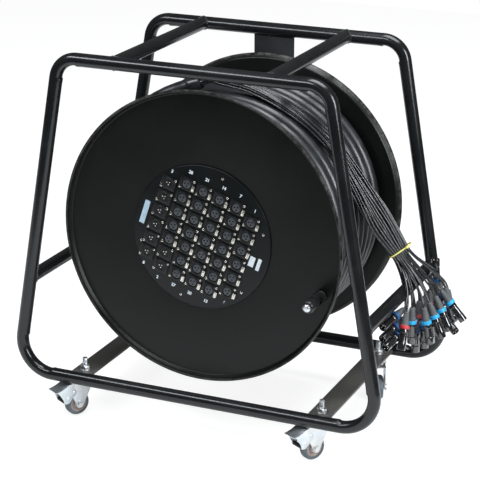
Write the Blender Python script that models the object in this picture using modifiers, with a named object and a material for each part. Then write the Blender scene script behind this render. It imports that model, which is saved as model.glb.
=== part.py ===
"""Multicore cable drum: a steel reel of stage multicore that turns in a wheeled tube frame, with a connector
panel in its front flange and forty tails hanging over the frame's right side tube.

Metres, +Z up. X runs along the front of the frame, the connector panel faces -Y, and the origin lies on the
floor under the middle of the whole, brake pedals included. The sizes below are measured from the middle
between the two loops, which is FRAME_Y behind the origin. The drum turns about Y through DRUM_Z.
"""

import math

import bmesh
import bpy
import numpy as np
from mathutils import Matrix, Vector

# Clearance between touching pieces, and how far a shape reaches into the one that it is joined to
GAP = 0.0003
SINK = 0.0005

# Sides and steps of the round shapes
TUBE_SIDES = 12
BORE_SIDES = 20
COPE_SIDES = 16
ROD_SIDES = 12
AXLE_STEPS = 20
STEM_STEPS = 12

# Frame: two tube loops joined by cross tubes, a post for the axle and two caster bars
TUBE_R = 0.013
LOOP_SPACING = 0.4016
RAIL_HALF_TOP = 0.272
RAIL_HALF_FOOT = 0.385
BOTTOM_RAIL_Z = 0.088
FRAME_RISE = 0.650
BEND_TOP = 0.045
BEND_FOOT = 0.065
BEND_POINTS = 5
CROSSBAR_X = 0.156
SIDE_TUBE_Z = 0.287
BAR_INSET = 0.130
BAR_WIDTH = 0.045
BAR_THICK = 0.005
POST_WIDTH = 0.086
POST_THICK = 0.005

# Casters
STUD_Y = 0.1608
STUD_R = 0.005
STUD_ABOVE_NUT = 0.018
NUT_ACROSS = 0.017
NUT_THICK = 0.008
SHOULDER_R = 0.011
SHOULDER_THICK = 0.0037
DOME_R = 0.017
DOME_TOP_R = 0.014
DOME_THICK = 0.0077
DOME_SIDE = 0.0046
KINGPIN_R = 0.004
KINGPIN_HEAD_R = 0.007
KINGPIN_HEAD_THICK = 0.002
FORK_PLATE_THICK = 0.0025
FORK_INNER = 0.023
FORK_LEG_THICK = 0.0025
FORK_EAR_X = 0.042
EAR_CORNER = 0.005
LEG_BACK_X = 0.0093
LEG_SHOULDER = 0.004
LEG_EYE_R = 0.0085
DECK_INSET = 0.001
WHEEL_R = 0.025
WHEEL_WIDTH = 0.019
WHEEL_SIDES = 24
TYRE_THICK = 0.007
TYRE_EDGE = 0.003
HUB_SINK = 0.0015
TRAIL = 0.022
AXLE_BOLT_R = 0.004
AXLE_HEAD_R = 0.0065
AXLE_HEAD_THICK = 0.0035
PEDAL_PIN_X = 0.036
PEDAL_PIN_Z = 0.055
PEDAL_PIN_R = 0.0025
PEDAL_THICK = 0.0018
PEDAL_REACH = 0.077
PEDAL_TIP_Z = 0.0605
PEDAL_CLEAR = 0.001
PIN_PAST_CHEEK = 0.0015
CHEEK_PAST_PIN = 0.006
CHEEK_TOE = 0.004
SHOE_X = 0.0545
SHOE_Z = 0.0365
SHOE_SIZE = 0.005
FRONT_TRAIL = math.radians(-121.4)
BACK_TRAIL = math.radians(-66.4)

# Drum: two flanges on a core tube, the middle of the drum at DRUM_Z
DRUM_Z = 0.404
FLANGE_R = 0.290
SHEET = 0.0025
RIM_DEPTH = 0.016
RIM_FLARE = 0.0080
RIM_BEAD = 0.0035
FOLD_SETBACK = 0.0015
FLANGE_STEPS = 44
FRONT_INNER_Y = -0.1475
BACK_INNER_Y = 0.166
CORE_R = 0.1535
CORE_WALL = 0.0035
CORE_STEPS = 36
BACK_OPENING_R = 0.034
PANEL_R = 0.1433
PANEL_THICK = 0.003
PANEL_LAP = 0.0068

# Axle, bearings and housing
AXLE_R = 0.0125
AXLE_FLANGE_R = 0.040
AXLE_FLANGE_THICK = 0.008
AXLE_PAST_POST = 0.0025
AXLE_END_R = 0.010
AXLE_NUT_THICK = 0.0117
AXLE_NUT_ACROSS = 0.030
AXLE_PAST_NUT = 0.004
BEARING_R = 0.026
BEARING_WIDTH = 0.015
REAR_BEARING_Y = 0.1475
FRONT_BEARING_Y = 0.0325
HOUSING_WALL = 0.0048
HOUSING_FLANGE_R = 0.065
HOUSING_FLANGE_THICK = 0.006
HOUSING_FRONT_Y = 0.020
AXLE_NUT_Y = 0.0120

# Connectors: six columns turned against the drum, with staggered outer columns
GRID_TURN = math.radians(18.4)
GRID_SHIFT_X = -0.006
COLUMN_PITCH = 0.0361
ROW_PITCH = 0.0303
ROWS = (6, 7, 7, 7, 7, 6)
MALE_COLUMN = 0
NEXT_MALE_COUNT = 2
FLANGE_ALONG = 0.026
FLANGE_ACROSS = 0.031
FLANGE_THICK = 0.0025
HOLE_R = 0.0125
BARREL_R = 0.0112
BARREL_SIDES = 8
BARREL_DEPTH = 0.022
INSERT_R = 0.0097
INSERT_DEPTH = 0.0012
STRIP_WIDTH = 0.008
STRIP_THICK = 0.002
CUP_R = 0.0079
CUP_DEPTH = 0.015

# Crank grip on the front flange
CRANK_INSET = 0.0324
CRANK_DEGREES = -18.68
CRANK_BOLT_R = 0.004
CRANK_NUT_ACROSS = 0.013
CRANK_NUT_THICK = 0.006
CRANK_HEAD_R = 0.0075
CRANK_HEAD_THICK = 0.006
CRANK_HEAD_EDGE = 0.002
GRIP_R = 0.0125
GRIP_LENGTH = 0.062
GRIP_EDGE = 0.002

# Cable: the outer layer of turns over a plain core, and its last lap on top of that layer
CABLE_D = 0.028
CABLE_GAP = 0.001
CABLE_CORE_R = 0.2274
CORE_CLEARANCE = 0.0005
LOOP_POINTS = 24
LAYER_TURNS = 9.75
LAYER_END_DEG = 322.0
CLIMB_STEPS = 4
LAP_STEPS = 10
LAP_END_Y = -0.035
SLEEVE_LENGTH = 0.022
SLEEVE_R = 0.0155
SLEEVE_TIP_R = 0.012

# Tails: forty strands in one flat bundle, tied, over the side tube, with their plugs beside the frame.
# Each row of the route is the centre, then half the width and half the thickness of the bundle there.
BUNDLE_R = 0.0115
BUNDLE_SQUARENESS = 0.6
BUNDLE_SIDES = 10
OVER_DRUM = (
    (0.2790, 93.0, -0.0290, 0.0150, 0.0095),
    (0.2725, 80.0, -0.0235, 0.0200, 0.0075),
    (0.2660, 65.0, -0.0130, 0.0280, 0.0055),
    (0.2650, 50.0, -0.0020, 0.0330, 0.0048),
    (0.2650, 36.0, 0.0090, 0.0340, 0.0045),
)
TO_TIE = (
    (0.2600, 0.020, 0.4870, 0.0370, 0.0048),
    (0.3000, 0.031, 0.4220, 0.0400, 0.0054),
)
TIE_PLACE = (0.3350, 0.040, 0.3650, 0.0410, 0.0060)
OVER_TUBE = (
    (0.3500, 0.042, 0.3350, 0.0500, 0.0080),
    (0.3660, 0.042, 0.3120, 0.0620, 0.0090),
    (0.3790, 0.040, 0.2940, 0.0750, 0.0125),
    (0.3870, 0.037, 0.2705, 0.0850, 0.0215),
)
TIE_R = 0.0013
TIE_CLEARANCE = 0.0006
TIE_CORNER = 0.0012
TIE_SIDES = 16
PLUG_LENGTH = 0.074
PLUG_R = 0.0095
PLUG_RING_R = 0.0102
PLUG_BOOT_LENGTH = 0.026
PLUG_RING_LENGTH = 0.007
PLUG_BOOT_TIP_R = 0.0052
PLUG_BORE_R = 0.0078
PLUG_BORE_DEPTH = 0.012
PLUG_STEPS = 10
# Where each boot starts (x, y), and which way the plug points
PLUG_PLACES = (
    ((0.3765, -0.034), (0.0, -0.40, -0.92)),
    ((0.3780, -0.008), (0.0, 0.04, -1.0)),
    ((0.3985, 0.002), (0.20, 0.02, -0.98)),
    ((0.3985, 0.035), (0.40, 0.0, -0.92)),
    ((0.3990, 0.073), (0.43, 0.0, -0.90)),
    ((0.3990, 0.110), (0.66, 0.0, -0.75)),
)
CLUSTER_X = (0.3670, 0.3875)
CLUSTER_Y = (0.014, 0.121)
CLUSTER_DROP = 0.105
CLUSTER_ROUND = 0.006

# Derived sizes
LOOP_Y = LOOP_SPACING / 2
TOP_RAIL_Z = BOTTOM_RAIL_Z + FRAME_RISE
BAR_X = RAIL_HALF_FOOT - BAR_INSET
BAR_TOP_Z = BOTTOM_RAIL_Z + BAR_THICK / 2
BAR_BOTTOM_Z = BOTTOM_RAIL_Z - BAR_THICK / 2
POST_FRONT_Y = LOOP_Y - POST_THICK / 2
SHOULDER_BOTTOM_Z = BAR_BOTTOM_Z - GAP - SHOULDER_THICK
DOME_BOTTOM_Z = SHOULDER_BOTTOM_Z - DOME_THICK
FORK_TOP_Z = DOME_BOTTOM_Z - GAP
FORK_OUTER = FORK_INNER + 2 * FORK_LEG_THICK
FRONT_OUTER_Y = FRONT_INNER_Y - SHEET
PANEL_BACK_Y = FRONT_OUTER_Y - GAP
PANEL_FRONT_Y = PANEL_BACK_Y - PANEL_THICK
PANEL_OPENING_R = PANEL_R - PANEL_LAP
RIM_FOLD_R = FLANGE_R - RIM_FLARE
CRANK_REACH = FLANGE_R - CRANK_INSET
CRANK_X = CRANK_REACH * math.cos(math.radians(CRANK_DEGREES))
CRANK_Z = DRUM_Z + CRANK_REACH * math.sin(math.radians(CRANK_DEGREES))
HOUSING_BORE_R = BEARING_R + GAP
HOUSING_R = HOUSING_BORE_R + HOUSING_WALL
BEARING_BORE_R = AXLE_R + GAP
FRONT_LAYER_Y = FRONT_INNER_Y + CABLE_GAP + CABLE_D / 2
BACK_LAYER_Y = BACK_INNER_Y - CABLE_GAP - CABLE_D / 2
PEDAL_HALF = FORK_OUTER / 2 + GAP + PEDAL_THICK
# The turns are polygons, so their corners stand further out than the round core needs
LAYER_R = (CABLE_CORE_R + CORE_CLEARANCE + CABLE_D / 2) / math.cos(math.pi / LOOP_POINTS)
LAP_R = LAYER_R + CABLE_D + CABLE_GAP
PEDAL_FRONT = STUD_Y - PEDAL_REACH * math.sin(FRONT_TRAIL) + PEDAL_HALF * abs(math.cos(FRONT_TRAIL))
# The brake pedals reach further out than the back loop, so the frame stands this far behind the origin
FRAME_Y = (PEDAL_FRONT - LOOP_Y - TUBE_R) / 2

MATERIALS = {
    "black_tube": ((0.018, 0.018, 0.020, 1), 0.38, 0.0),
    "black_sheet": ((0.022, 0.022, 0.022, 1), 0.50, 0.0),
    "zinc": ((0.62, 0.63, 0.64, 1), 0.28, 1.0),
    "steel": ((0.50, 0.50, 0.52, 1), 0.35, 1.0),
    "bearing_steel": ((0.55, 0.55, 0.56, 1), 0.25, 1.0),
    "tyre": ((0.34, 0.36, 0.40, 1), 0.60, 0.0),
    "cable": ((0.040, 0.042, 0.046, 1), 0.48, 0.0),
    "connector": ((0.030, 0.031, 0.034, 1), 0.45, 0.0),
    "plastic": ((0.030, 0.030, 0.032, 1), 0.35, 0.0),
    "tie": ((0.80, 0.76, 0.30, 1), 0.50, 0.0),
}


def clear_scene():
    for obj in list(bpy.data.objects):
        bpy.data.objects.remove(obj)


def new_collection(name):
    collection = bpy.data.collections.new(name)
    bpy.context.scene.collection.children.link(collection)
    return collection


def material(name, kind):
    colour, roughness, metallic = MATERIALS[kind]
    made = bpy.data.materials.new(name)
    made.use_nodes = True
    shader = made.node_tree.nodes["Principled BSDF"]
    shader.inputs["Base Color"].default_value = colour
    shader.inputs["Roughness"].default_value = roughness
    shader.inputs["Metallic"].default_value = metallic
    made.diffuse_color = colour
    return made


def smooth(mesh, degrees=35):
    mesh.shade_smooth()
    mesh.set_sharp_from_angle(angle=math.radians(degrees))


def add(name, data, kind, parent=None, location=(0, 0, 0), rotation=(0, 0, 0)):
    """A visible piece of the drum, with a material of its own."""
    obj = bpy.data.objects.new(name, data)
    PARTS.objects.link(obj)
    obj.parent = parent or MIDDLE
    obj.location = location
    obj.rotation_euler = rotation
    data.materials.append(material(name, kind))
    return obj


def add_cutter(name, mesh, parent=None, location=(0, 0, 0), rotation=(0, 0, 0)):
    """A helper that is cut from a piece or joined to it, and that no render shows."""
    obj = bpy.data.objects.new(name, mesh)
    CUTTERS.objects.link(obj)
    obj.parent = parent or MIDDLE
    obj.location = location
    obj.rotation_euler = rotation
    obj.hide_render = True
    obj.display_type = "WIRE"
    return obj


def add_empty(name, location, rotation=(0, 0, 0), parent=None):
    """A place that pieces are parented to."""
    empty = bpy.data.objects.new(name, None)
    PARTS.objects.link(empty)
    empty.empty_display_size = 0.05
    empty.parent = parent
    empty.location = location
    empty.rotation_euler = rotation
    return empty


def boolean(obj, other, operation):
    modifier = obj.modifiers.new(f"{operation.lower()} {other.name}", "BOOLEAN")
    modifier.operation = operation
    modifier.solver = "EXACT"
    modifier.object = other


def mesh_of(name, fill):
    """A mesh that `fill` builds in an empty bmesh."""
    mesh = bpy.data.meshes.new(name)
    shape = bmesh.new()
    fill(shape)
    shape.to_mesh(mesh)
    shape.free()
    return mesh


def along(start, end):
    """The matrix that takes the Z axis's unit cylinder to the line from start to end."""
    start, end = Vector(start), Vector(end)
    turn = (end - start).to_track_quat("Z", "Y").to_matrix().to_4x4()
    return Matrix.Translation((start + end) / 2) @ turn


def put_box(shape, low, high):
    low, high = Vector(low), Vector(high)
    size = Matrix.Diagonal((*(high - low), 1))
    bmesh.ops.create_cube(shape, size=1, matrix=Matrix.Translation((low + high) / 2) @ size)


def put_rod(shape, start, end, radius, sides=ROD_SIDES, end_radius=None):
    length = (Vector(end) - Vector(start)).length
    bmesh.ops.create_cone(
        shape,
        cap_ends=True,
        segments=sides,
        radius1=radius,
        radius2=radius if end_radius is None else end_radius,
        depth=length,
        matrix=along(start, end),
    )


def box_mesh(name, low, high):
    return mesh_of(name, lambda shape: put_box(shape, low, high))


def rod_mesh(name, start, end, radius, sides=ROD_SIDES, end_radius=None):
    return mesh_of(name, lambda shape: put_rod(shape, start, end, radius, sides, end_radius))


def turned_mesh(name, profile, closed=True):
    """A mesh of a profile in X and Z, swept round Z by a Screw modifier that turned() adds."""

    def fill(shape):
        corners = [shape.verts.new((r, 0, z)) for r, z in profile]
        for first, second in zip(corners, corners[1:]):
            shape.edges.new((first, second))
        if closed:
            shape.edges.new((corners[-1], corners[0]))

    return mesh_of(name, fill)


def sweep(obj, steps):
    screw = obj.modifiers.new("turn", "SCREW")
    screw.axis = "Z"
    screw.steps = steps
    screw.render_steps = steps
    screw.use_merge_vertices = True
    screw.merge_threshold = 0.00001
    screw.use_smooth_shade = True


def turned(name, profile, steps, kind, parent=None, location=(0, 0, 0), rotation=(0, 0, 0)):
    """A turned piece. The profile runs down its outer side; it is a ring where it clears the axis."""
    closed = min(r for r, _ in profile) > 0
    obj = add(name, turned_mesh(name, profile, closed), kind, parent, location, rotation)
    sweep(obj, steps)
    return obj


def ring_profile(inner, outer, low, high):
    return [(outer, high), (outer, low), (inner, low), (inner, high)]


def prism_mesh(name, outline, low, high):
    """A flat outline in X and Z, drawn anticlockwise, as thick as from low to high along Y."""

    def fill(shape):
        face = shape.faces.new([shape.verts.new((x, low, z)) for x, z in outline])
        grown = bmesh.ops.extrude_face_region(shape, geom=[face])
        moved = [item for item in grown["geom"] if isinstance(item, bmesh.types.BMVert)]
        bmesh.ops.translate(shape, vec=(0, high - low, 0), verts=moved)
        bmesh.ops.recalc_face_normals(shape, faces=shape.faces)

    return mesh_of(name, fill)


def arc(centre, radius, start, end, points):
    """Points round a centre, with the angles in degrees."""
    return [
        (centre[0] + radius * math.cos(angle), centre[1] + radius * math.sin(angle))
        for angle in np.radians(np.linspace(start, end, points))
    ]


def rounded(corners, radii, points):
    """A closed outline through the corners, each one rounded to its own radius."""
    outline = []
    count = len(corners)
    for i, radius in enumerate(radii):
        corner = np.array(corners[i], float)
        before = np.array(corners[i - 1], float) - corner
        after = np.array(corners[(i + 1) % count], float) - corner
        before /= np.linalg.norm(before)
        after /= np.linalg.norm(after)
        half = math.acos(np.clip(before @ after, -1, 1)) / 2
        middle = (before + after) / np.linalg.norm(before + after)
        centre = corner + middle * radius / math.sin(half)
        first = corner + before * radius / math.tan(half) - centre
        last = corner + after * radius / math.tan(half) - centre
        start = math.atan2(first[1], first[0])
        turn = (math.atan2(last[1], last[0]) - start + math.pi) % (2 * math.pi) - math.pi
        for share in np.linspace(0, 1, points):
            angle = start + share * turn
            outline.append((centre[0] + radius * math.cos(angle), centre[1] + radius * math.sin(angle)))
    return outline


def tube(name, points, radius, resolution, kind, cyclic=False, location=(0, 0, 0), parent=None):
    curve = bpy.data.curves.new(name, "CURVE")
    curve.dimensions = "3D"
    curve.bevel_depth = radius
    curve.bevel_resolution = resolution
    curve.use_fill_caps = True
    spline = curve.splines.new("POLY")
    spline.points.add(len(points) - 1)
    for point, place in zip(spline.points, points):
        point.co = (*place, 1)
    spline.use_cyclic_u = cyclic
    return add(name, curve, kind, parent, location)


def flat_ring(centre, forward, half_width, half_thick, sides=BUNDLE_SIDES):
    """Points round a flat bundle at one place of its route: a rounded oblong, wide along Y."""
    forward = Vector(forward).normalized()
    wide = (Vector((0, 1, 0)) - forward * forward.y).normalized()
    thick = forward.cross(wide)
    ring = []
    for i in range(sides):
        angle = 2 * math.pi * (i + 0.5) / sides
        across, up = math.cos(angle), math.sin(angle)
        across = math.copysign(abs(across) ** BUNDLE_SQUARENESS, across)
        up = math.copysign(abs(up) ** BUNDLE_SQUARENESS, up)
        ring.append(Vector(centre) + wide * across * half_width + thick * up * half_thick)
    return ring


def loft_mesh(name, rings):
    """Unlike sections of a bundle joined into one closed body."""

    def fill(shape):
        layers = [[shape.verts.new(point) for point in ring] for ring in rings]
        count = len(rings[0])
        for lower, upper in zip(layers, layers[1:]):
            for i in range(count):
                j = (i + 1) % count
                shape.faces.new((lower[i], lower[j], upper[j], upper[i]))
        shape.faces.new(reversed(layers[0]))
        shape.faces.new(layers[-1])
        bmesh.ops.recalc_face_normals(shape, faces=shape.faces)

    return mesh_of(name, fill)


def smooth_route(places, per_step):
    """Rows read from a smooth curve through the given rows."""
    rows = np.array(places, float)
    ends = np.vstack([2 * rows[0] - rows[1], rows, 2 * rows[-1] - rows[-2]])
    route = []
    for i in range(1, len(ends) - 2):
        a, b, c, d = ends[i - 1 : i + 3]
        for t in np.arange(per_step) / per_step:
            blend = 2 * b + (c - a) * t + (2 * a - 5 * b + 4 * c - d) * t**2
            route.append(0.5 * (blend + (3 * b - 3 * c + d - a) * t**3))
    route.append(rows[-1])
    return np.array(route)


def bundle_rings(rows, first_way=None, last_way=None):
    rings = []
    ways = np.gradient(rows[:, :3], axis=0)
    if first_way is not None:
        ways[0] = first_way
    if last_way is not None:
        ways[-1] = last_way
    for row, way in zip(rows, ways):
        rings.append(flat_ring(row[:3], way, row[3], row[4]))
    return rings


# Frame

def leg_x(z):
    """Where the middle of a leg is at a height."""
    share = (TOP_RAIL_Z - z) / FRAME_RISE
    return RAIL_HALF_TOP + (RAIL_HALF_FOOT - RAIL_HALF_TOP) * share


def build_loops():
    corners = [
        (RAIL_HALF_FOOT, BOTTOM_RAIL_Z),
        (RAIL_HALF_TOP, TOP_RAIL_Z),
        (-RAIL_HALF_TOP, TOP_RAIL_Z),
        (-RAIL_HALF_FOOT, BOTTOM_RAIL_Z),
    ]
    outline = rounded(corners, (BEND_FOOT, BEND_TOP, BEND_TOP, BEND_FOOT), BEND_POINTS)
    points = [(x, 0, z) for x, z in outline]
    resolution = (TUBE_SIDES - 4) // 2
    for name, y in (("front_loop", -LOOP_Y), ("back_loop", LOOP_Y)):
        tube(name, points, TUBE_R, resolution, "black_tube", cyclic=True, location=(0, y, 0))


def coped_tube(name, x, z, cutters):
    """A tube along Y whose ends are shaped to the tubes that it meets."""
    reach = LOOP_Y - TUBE_R / 2
    obj = add(name, rod_mesh(name, (0, -reach, 0), (0, reach, 0), TUBE_R, TUBE_SIDES), "black_tube")
    obj.location = (x, 0, z)
    smooth(obj.data)
    for cutter in cutters:
        boolean(obj, cutter, "DIFFERENCE")


def build_cross_tubes():
    cope_r = (TUBE_R + GAP) / math.cos(math.pi / COPE_SIDES)
    rails = []
    for end, y in (("front", -LOOP_Y), ("back", LOOP_Y)):
        start = (-RAIL_HALF_FOOT, y, TOP_RAIL_Z)
        stop = (RAIL_HALF_FOOT, y, TOP_RAIL_Z)
        rails.append(add_cutter(f"rail_{end}", rod_mesh("rail", start, stop, cope_r, COPE_SIDES)))
    for side, sign in (("left", -1), ("right", 1)):
        coped_tube(f"top_crossbar_{side}", sign * CROSSBAR_X, TOP_RAIL_Z, rails)
        foot = sign * RAIL_HALF_FOOT
        top = sign * RAIL_HALF_TOP
        legs = []
        for end, y in (("front", -LOOP_Y), ("back", LOOP_Y)):
            leg = rod_mesh("leg", (foot, y, BOTTOM_RAIL_Z), (top, y, TOP_RAIL_Z), cope_r, COPE_SIDES)
            legs.append(add_cutter(f"leg_{side}_{end}", leg))
        coped_tube(f"side_tube_{side}", sign * leg_x(SIDE_TUBE_Z), SIDE_TUBE_Z, legs)


def build_bars():
    reach = LOOP_Y - TUBE_R - GAP
    hole_r = STUD_R + GAP
    for side, sign in (("left", -1), ("right", 1)):
        x = sign * BAR_X
        low = (-BAR_WIDTH / 2, -reach, -BAR_THICK / 2)
        high = (BAR_WIDTH / 2, reach, BAR_THICK / 2)
        bar = add(f"caster_bar_{side}", box_mesh("bar", low, high), "black_sheet")
        bar.location = (x, 0, BOTTOM_RAIL_Z)
        for end, y in (("front", -STUD_Y), ("back", STUD_Y)):
            hole = rod_mesh("hole", (0, 0, -BAR_THICK), (0, 0, BAR_THICK), hole_r)
            cutter = add_cutter(f"stud_hole_{side}_{end}", hole, location=(x, y, BOTTOM_RAIL_Z))
            boolean(bar, cutter, "DIFFERENCE")


def build_post():
    low = (-POST_WIDTH / 2, LOOP_Y - POST_THICK / 2, BOTTOM_RAIL_Z + TUBE_R + GAP)
    high = (POST_WIDTH / 2, LOOP_Y + POST_THICK / 2, TOP_RAIL_Z - TUBE_R - GAP)
    post = add("axle_post", box_mesh("axle_post", low, high), "black_sheet")
    radius = (AXLE_R + GAP) / math.cos(math.pi / BORE_SIDES)
    start = (0, LOOP_Y - POST_THICK, DRUM_Z)
    end = (0, LOOP_Y + POST_THICK, DRUM_Z)
    hole = add_cutter("axle_hole", rod_mesh("axle_hole", start, end, radius, BORE_SIDES))
    boolean(post, hole, "DIFFERENCE")


# Casters

def hexagon_mesh(name, across, low, high):
    radius = across / math.sqrt(3)
    return rod_mesh(name, (0, 0, low), (0, 0, high), radius, 6)


def build_stem(name, parent):
    """The threaded stud, its nut and the fixed half of the swivel head, riveted under the fork's plate."""
    top = BAR_TOP_Z + GAP + NUT_THICK + STUD_ABOVE_NUT
    pin_bottom = FORK_TOP_Z - FORK_PLATE_THICK - GAP
    profile = [
        (0, top),
        (STUD_R, top),
        (STUD_R, BAR_BOTTOM_Z - GAP),
        (SHOULDER_R, BAR_BOTTOM_Z - GAP),
        (SHOULDER_R, SHOULDER_BOTTOM_Z),
        (DOME_TOP_R, SHOULDER_BOTTOM_Z),
        (DOME_R, DOME_BOTTOM_Z + DOME_SIDE),
        (DOME_R, DOME_BOTTOM_Z),
        (KINGPIN_R, DOME_BOTTOM_Z),
        (KINGPIN_R, pin_bottom),
        (KINGPIN_HEAD_R, pin_bottom),
        (KINGPIN_HEAD_R, pin_bottom - KINGPIN_HEAD_THICK),
        (0, pin_bottom - KINGPIN_HEAD_THICK),
    ]
    stem = turned(name, profile, STEM_STEPS, "zinc", parent)
    low = BAR_TOP_Z + GAP
    nut = add_cutter(f"{name}_nut", hexagon_mesh("nut", NUT_ACROSS, low, low + NUT_THICK), parent)
    boolean(stem, nut, "UNION")


def leg_outline():
    """One leg seen from the side: wide under the plate, round at the axle, with an ear for the pedal."""
    low = FORK_TOP_Z - FORK_PLATE_THICK
    axle = (TRAIL, WHEEL_R)
    return [
        (-LEG_BACK_X, FORK_TOP_Z),
        (-LEG_BACK_X, low - LEG_SHOULDER),
        *arc(axle, LEG_EYE_R, 205, 385, 5),
        (FORK_EAR_X, PEDAL_PIN_Z - EAR_CORNER),
        (FORK_EAR_X, FORK_TOP_Z - EAR_CORNER),
        (FORK_EAR_X - EAR_CORNER, FORK_TOP_Z),
    ]


def build_fork(name, parent, with_pin_hole):
    """The swivelling half: a plate, two legs down to the wheel and the bolt that the wheel turns on."""
    low = FORK_TOP_Z - FORK_PLATE_THICK
    plate = rod_mesh("fork", (0, 0, low), (0, 0, FORK_TOP_Z), DOME_R, COPE_SIDES)
    fork = add(name, plate, "zinc", parent)
    smooth(fork.data)
    outline = leg_outline()
    deck = box_mesh(
        "deck",
        (-LEG_BACK_X + DECK_INSET, -FORK_INNER / 2 - SINK, low),
        (FORK_EAR_X - EAR_CORNER - DECK_INSET, FORK_INNER / 2 + SINK, FORK_TOP_Z),
    )
    boolean(fork, add_cutter(f"{name}_deck", deck, parent), "UNION")
    for side, sign in (("a", -1), ("b", 1)):
        inner = sign * FORK_INNER / 2
        outer = sign * FORK_OUTER / 2
        leg = prism_mesh("leg", outline, min(inner, outer), max(inner, outer))
        boolean(fork, add_cutter(f"{name}_leg_{side}", leg, parent), "UNION")
    half = FORK_OUTER / 2
    past = half + 2 * SINK
    bolt = rod_mesh("bolt", (TRAIL, -past, WHEEL_R), (TRAIL, past, WHEEL_R), AXLE_BOLT_R)
    boolean(fork, add_cutter(f"{name}_bolt", bolt, parent), "UNION")
    for side, sign in (("head", -1), ("nut", 1)):
        start = (TRAIL, sign * (half - SINK), WHEEL_R)
        end = (TRAIL, sign * (half + AXLE_HEAD_THICK), WHEEL_R)
        head = rod_mesh(side, start, end, AXLE_HEAD_R, 6)
        boolean(fork, add_cutter(f"{name}_{side}", head, parent), "UNION")
    above = (0, 0, FORK_TOP_Z + FORK_PLATE_THICK)
    below = (0, 0, low - FORK_PLATE_THICK)
    bore = rod_mesh("bore", below, above, KINGPIN_R + 2 * GAP)
    boolean(fork, add_cutter(f"{name}_bore", bore, parent), "DIFFERENCE")
    if with_pin_hole:
        start = (PEDAL_PIN_X, -FORK_OUTER, PEDAL_PIN_Z)
        end = (PEDAL_PIN_X, FORK_OUTER, PEDAL_PIN_Z)
        hole = rod_mesh("hole", start, end, PEDAL_PIN_R + 2 * GAP)
        boolean(fork, add_cutter(f"{name}_pin_hole", hole, parent), "DIFFERENCE")


def build_wheel(name, parent):
    """Tyre and hub, which turn on the fork's bolt. Its flats make the faces that it stands on."""
    half = WHEEL_WIDTH / 2
    outer = WHEEL_R / math.cos(math.pi / WHEEL_SIDES)
    hub = outer - TYRE_THICK
    bore = AXLE_BOLT_R + 2 * GAP
    profile = [
        (outer, half - TYRE_EDGE),
        (outer, -half + TYRE_EDGE),
        (outer - TYRE_EDGE, -half),
        (hub, -half),
        (bore, -half + HUB_SINK),
        (bore, half - HUB_SINK),
        (hub, half),
        (outer - TYRE_EDGE, half),
    ]
    turn = math.pi / WHEEL_SIDES
    place = Matrix.Rotation(math.pi / 2, 4, "X") @ Matrix.Rotation(turn, 4, "Z")
    wheel = add(name, turned_mesh(name, profile), "tyre", parent, (TRAIL, 0, WHEEL_R))
    wheel.rotation_euler = place.to_euler()
    sweep(wheel, WHEEL_SIDES)


def build_pedal(name, parent):
    """The brake: a foot flap, a cheek on each side of the fork, the pin between them and the shoe."""
    outer = PEDAL_HALF
    inner = outer - PEDAL_THICK
    pin = Vector((PEDAL_PIN_X, 0, PEDAL_PIN_Z))

    def local(x, z):
        return (x - pin.x, z - pin.z)

    flap_top = FORK_TOP_Z - SINK
    flap = [
        local(FORK_EAR_X + PEDAL_CLEAR, flap_top),
        local(FORK_EAR_X + PEDAL_CLEAR, flap_top - PEDAL_THICK),
        local(PEDAL_REACH - SINK, PEDAL_TIP_Z),
        local(PEDAL_REACH, PEDAL_TIP_Z + PEDAL_THICK),
    ]
    cheek = [
        local(FORK_EAR_X + CHEEK_TOE, flap_top - PEDAL_THICK / 2),
        local(PEDAL_PIN_X - CHEEK_PAST_PIN, PEDAL_PIN_Z + CHEEK_PAST_PIN),
        local(PEDAL_PIN_X - CHEEK_PAST_PIN, PEDAL_PIN_Z - CHEEK_TOE),
        local(SHOE_X - CHEEK_TOE, SHOE_Z - CHEEK_TOE),
        local(SHOE_X + CHEEK_TOE, SHOE_Z - CHEEK_TOE),
        local(PEDAL_REACH - CHEEK_TOE, PEDAL_TIP_Z + PEDAL_THICK / 2),
    ]
    pedal = add(name, prism_mesh(name, flap, -outer, outer), "zinc", parent, pin)
    for side, low, high in (("a", -outer, -inner), ("b", inner, outer)):
        shape = prism_mesh("cheek", cheek, low, high)
        boolean(pedal, add_cutter(f"{name}_cheek_{side}", shape, pedal), "UNION")
    reach = outer + PIN_PAST_CHEEK
    rivet = rod_mesh("rivet", (0, -reach, 0), (0, reach, 0), PEDAL_PIN_R)
    boolean(pedal, add_cutter(f"{name}_pin", rivet, pedal), "UNION")
    shoe_x, shoe_z = local(SHOE_X, SHOE_Z)
    half = SHOE_SIZE / 2
    shoe = box_mesh(
        "shoe",
        (shoe_x - half, -inner - PEDAL_THICK / 2, shoe_z - half),
        (shoe_x + half, inner + PEDAL_THICK / 2, shoe_z + half),
    )
    boolean(pedal, add_cutter(f"{name}_shoe", shoe, pedal), "UNION")


def build_casters():
    for end, y, trail in (("front", -STUD_Y, FRONT_TRAIL), ("back", STUD_Y, BACK_TRAIL)):
        for side, sign in (("left", -1), ("right", 1)):
            place = add_empty(f"caster_{end}_{side}_place", (sign * BAR_X, y, 0), (0, 0, trail), MIDDLE)
            build_stem(f"caster_stem_{end}_{side}", place)
            build_fork(f"caster_fork_{end}_{side}", place, end == "front")
            build_wheel(f"caster_wheel_{end}_{side}", place)
            if end == "front":
                build_pedal(f"brake_pedal_{end}_{side}", place)


# Drum

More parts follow.
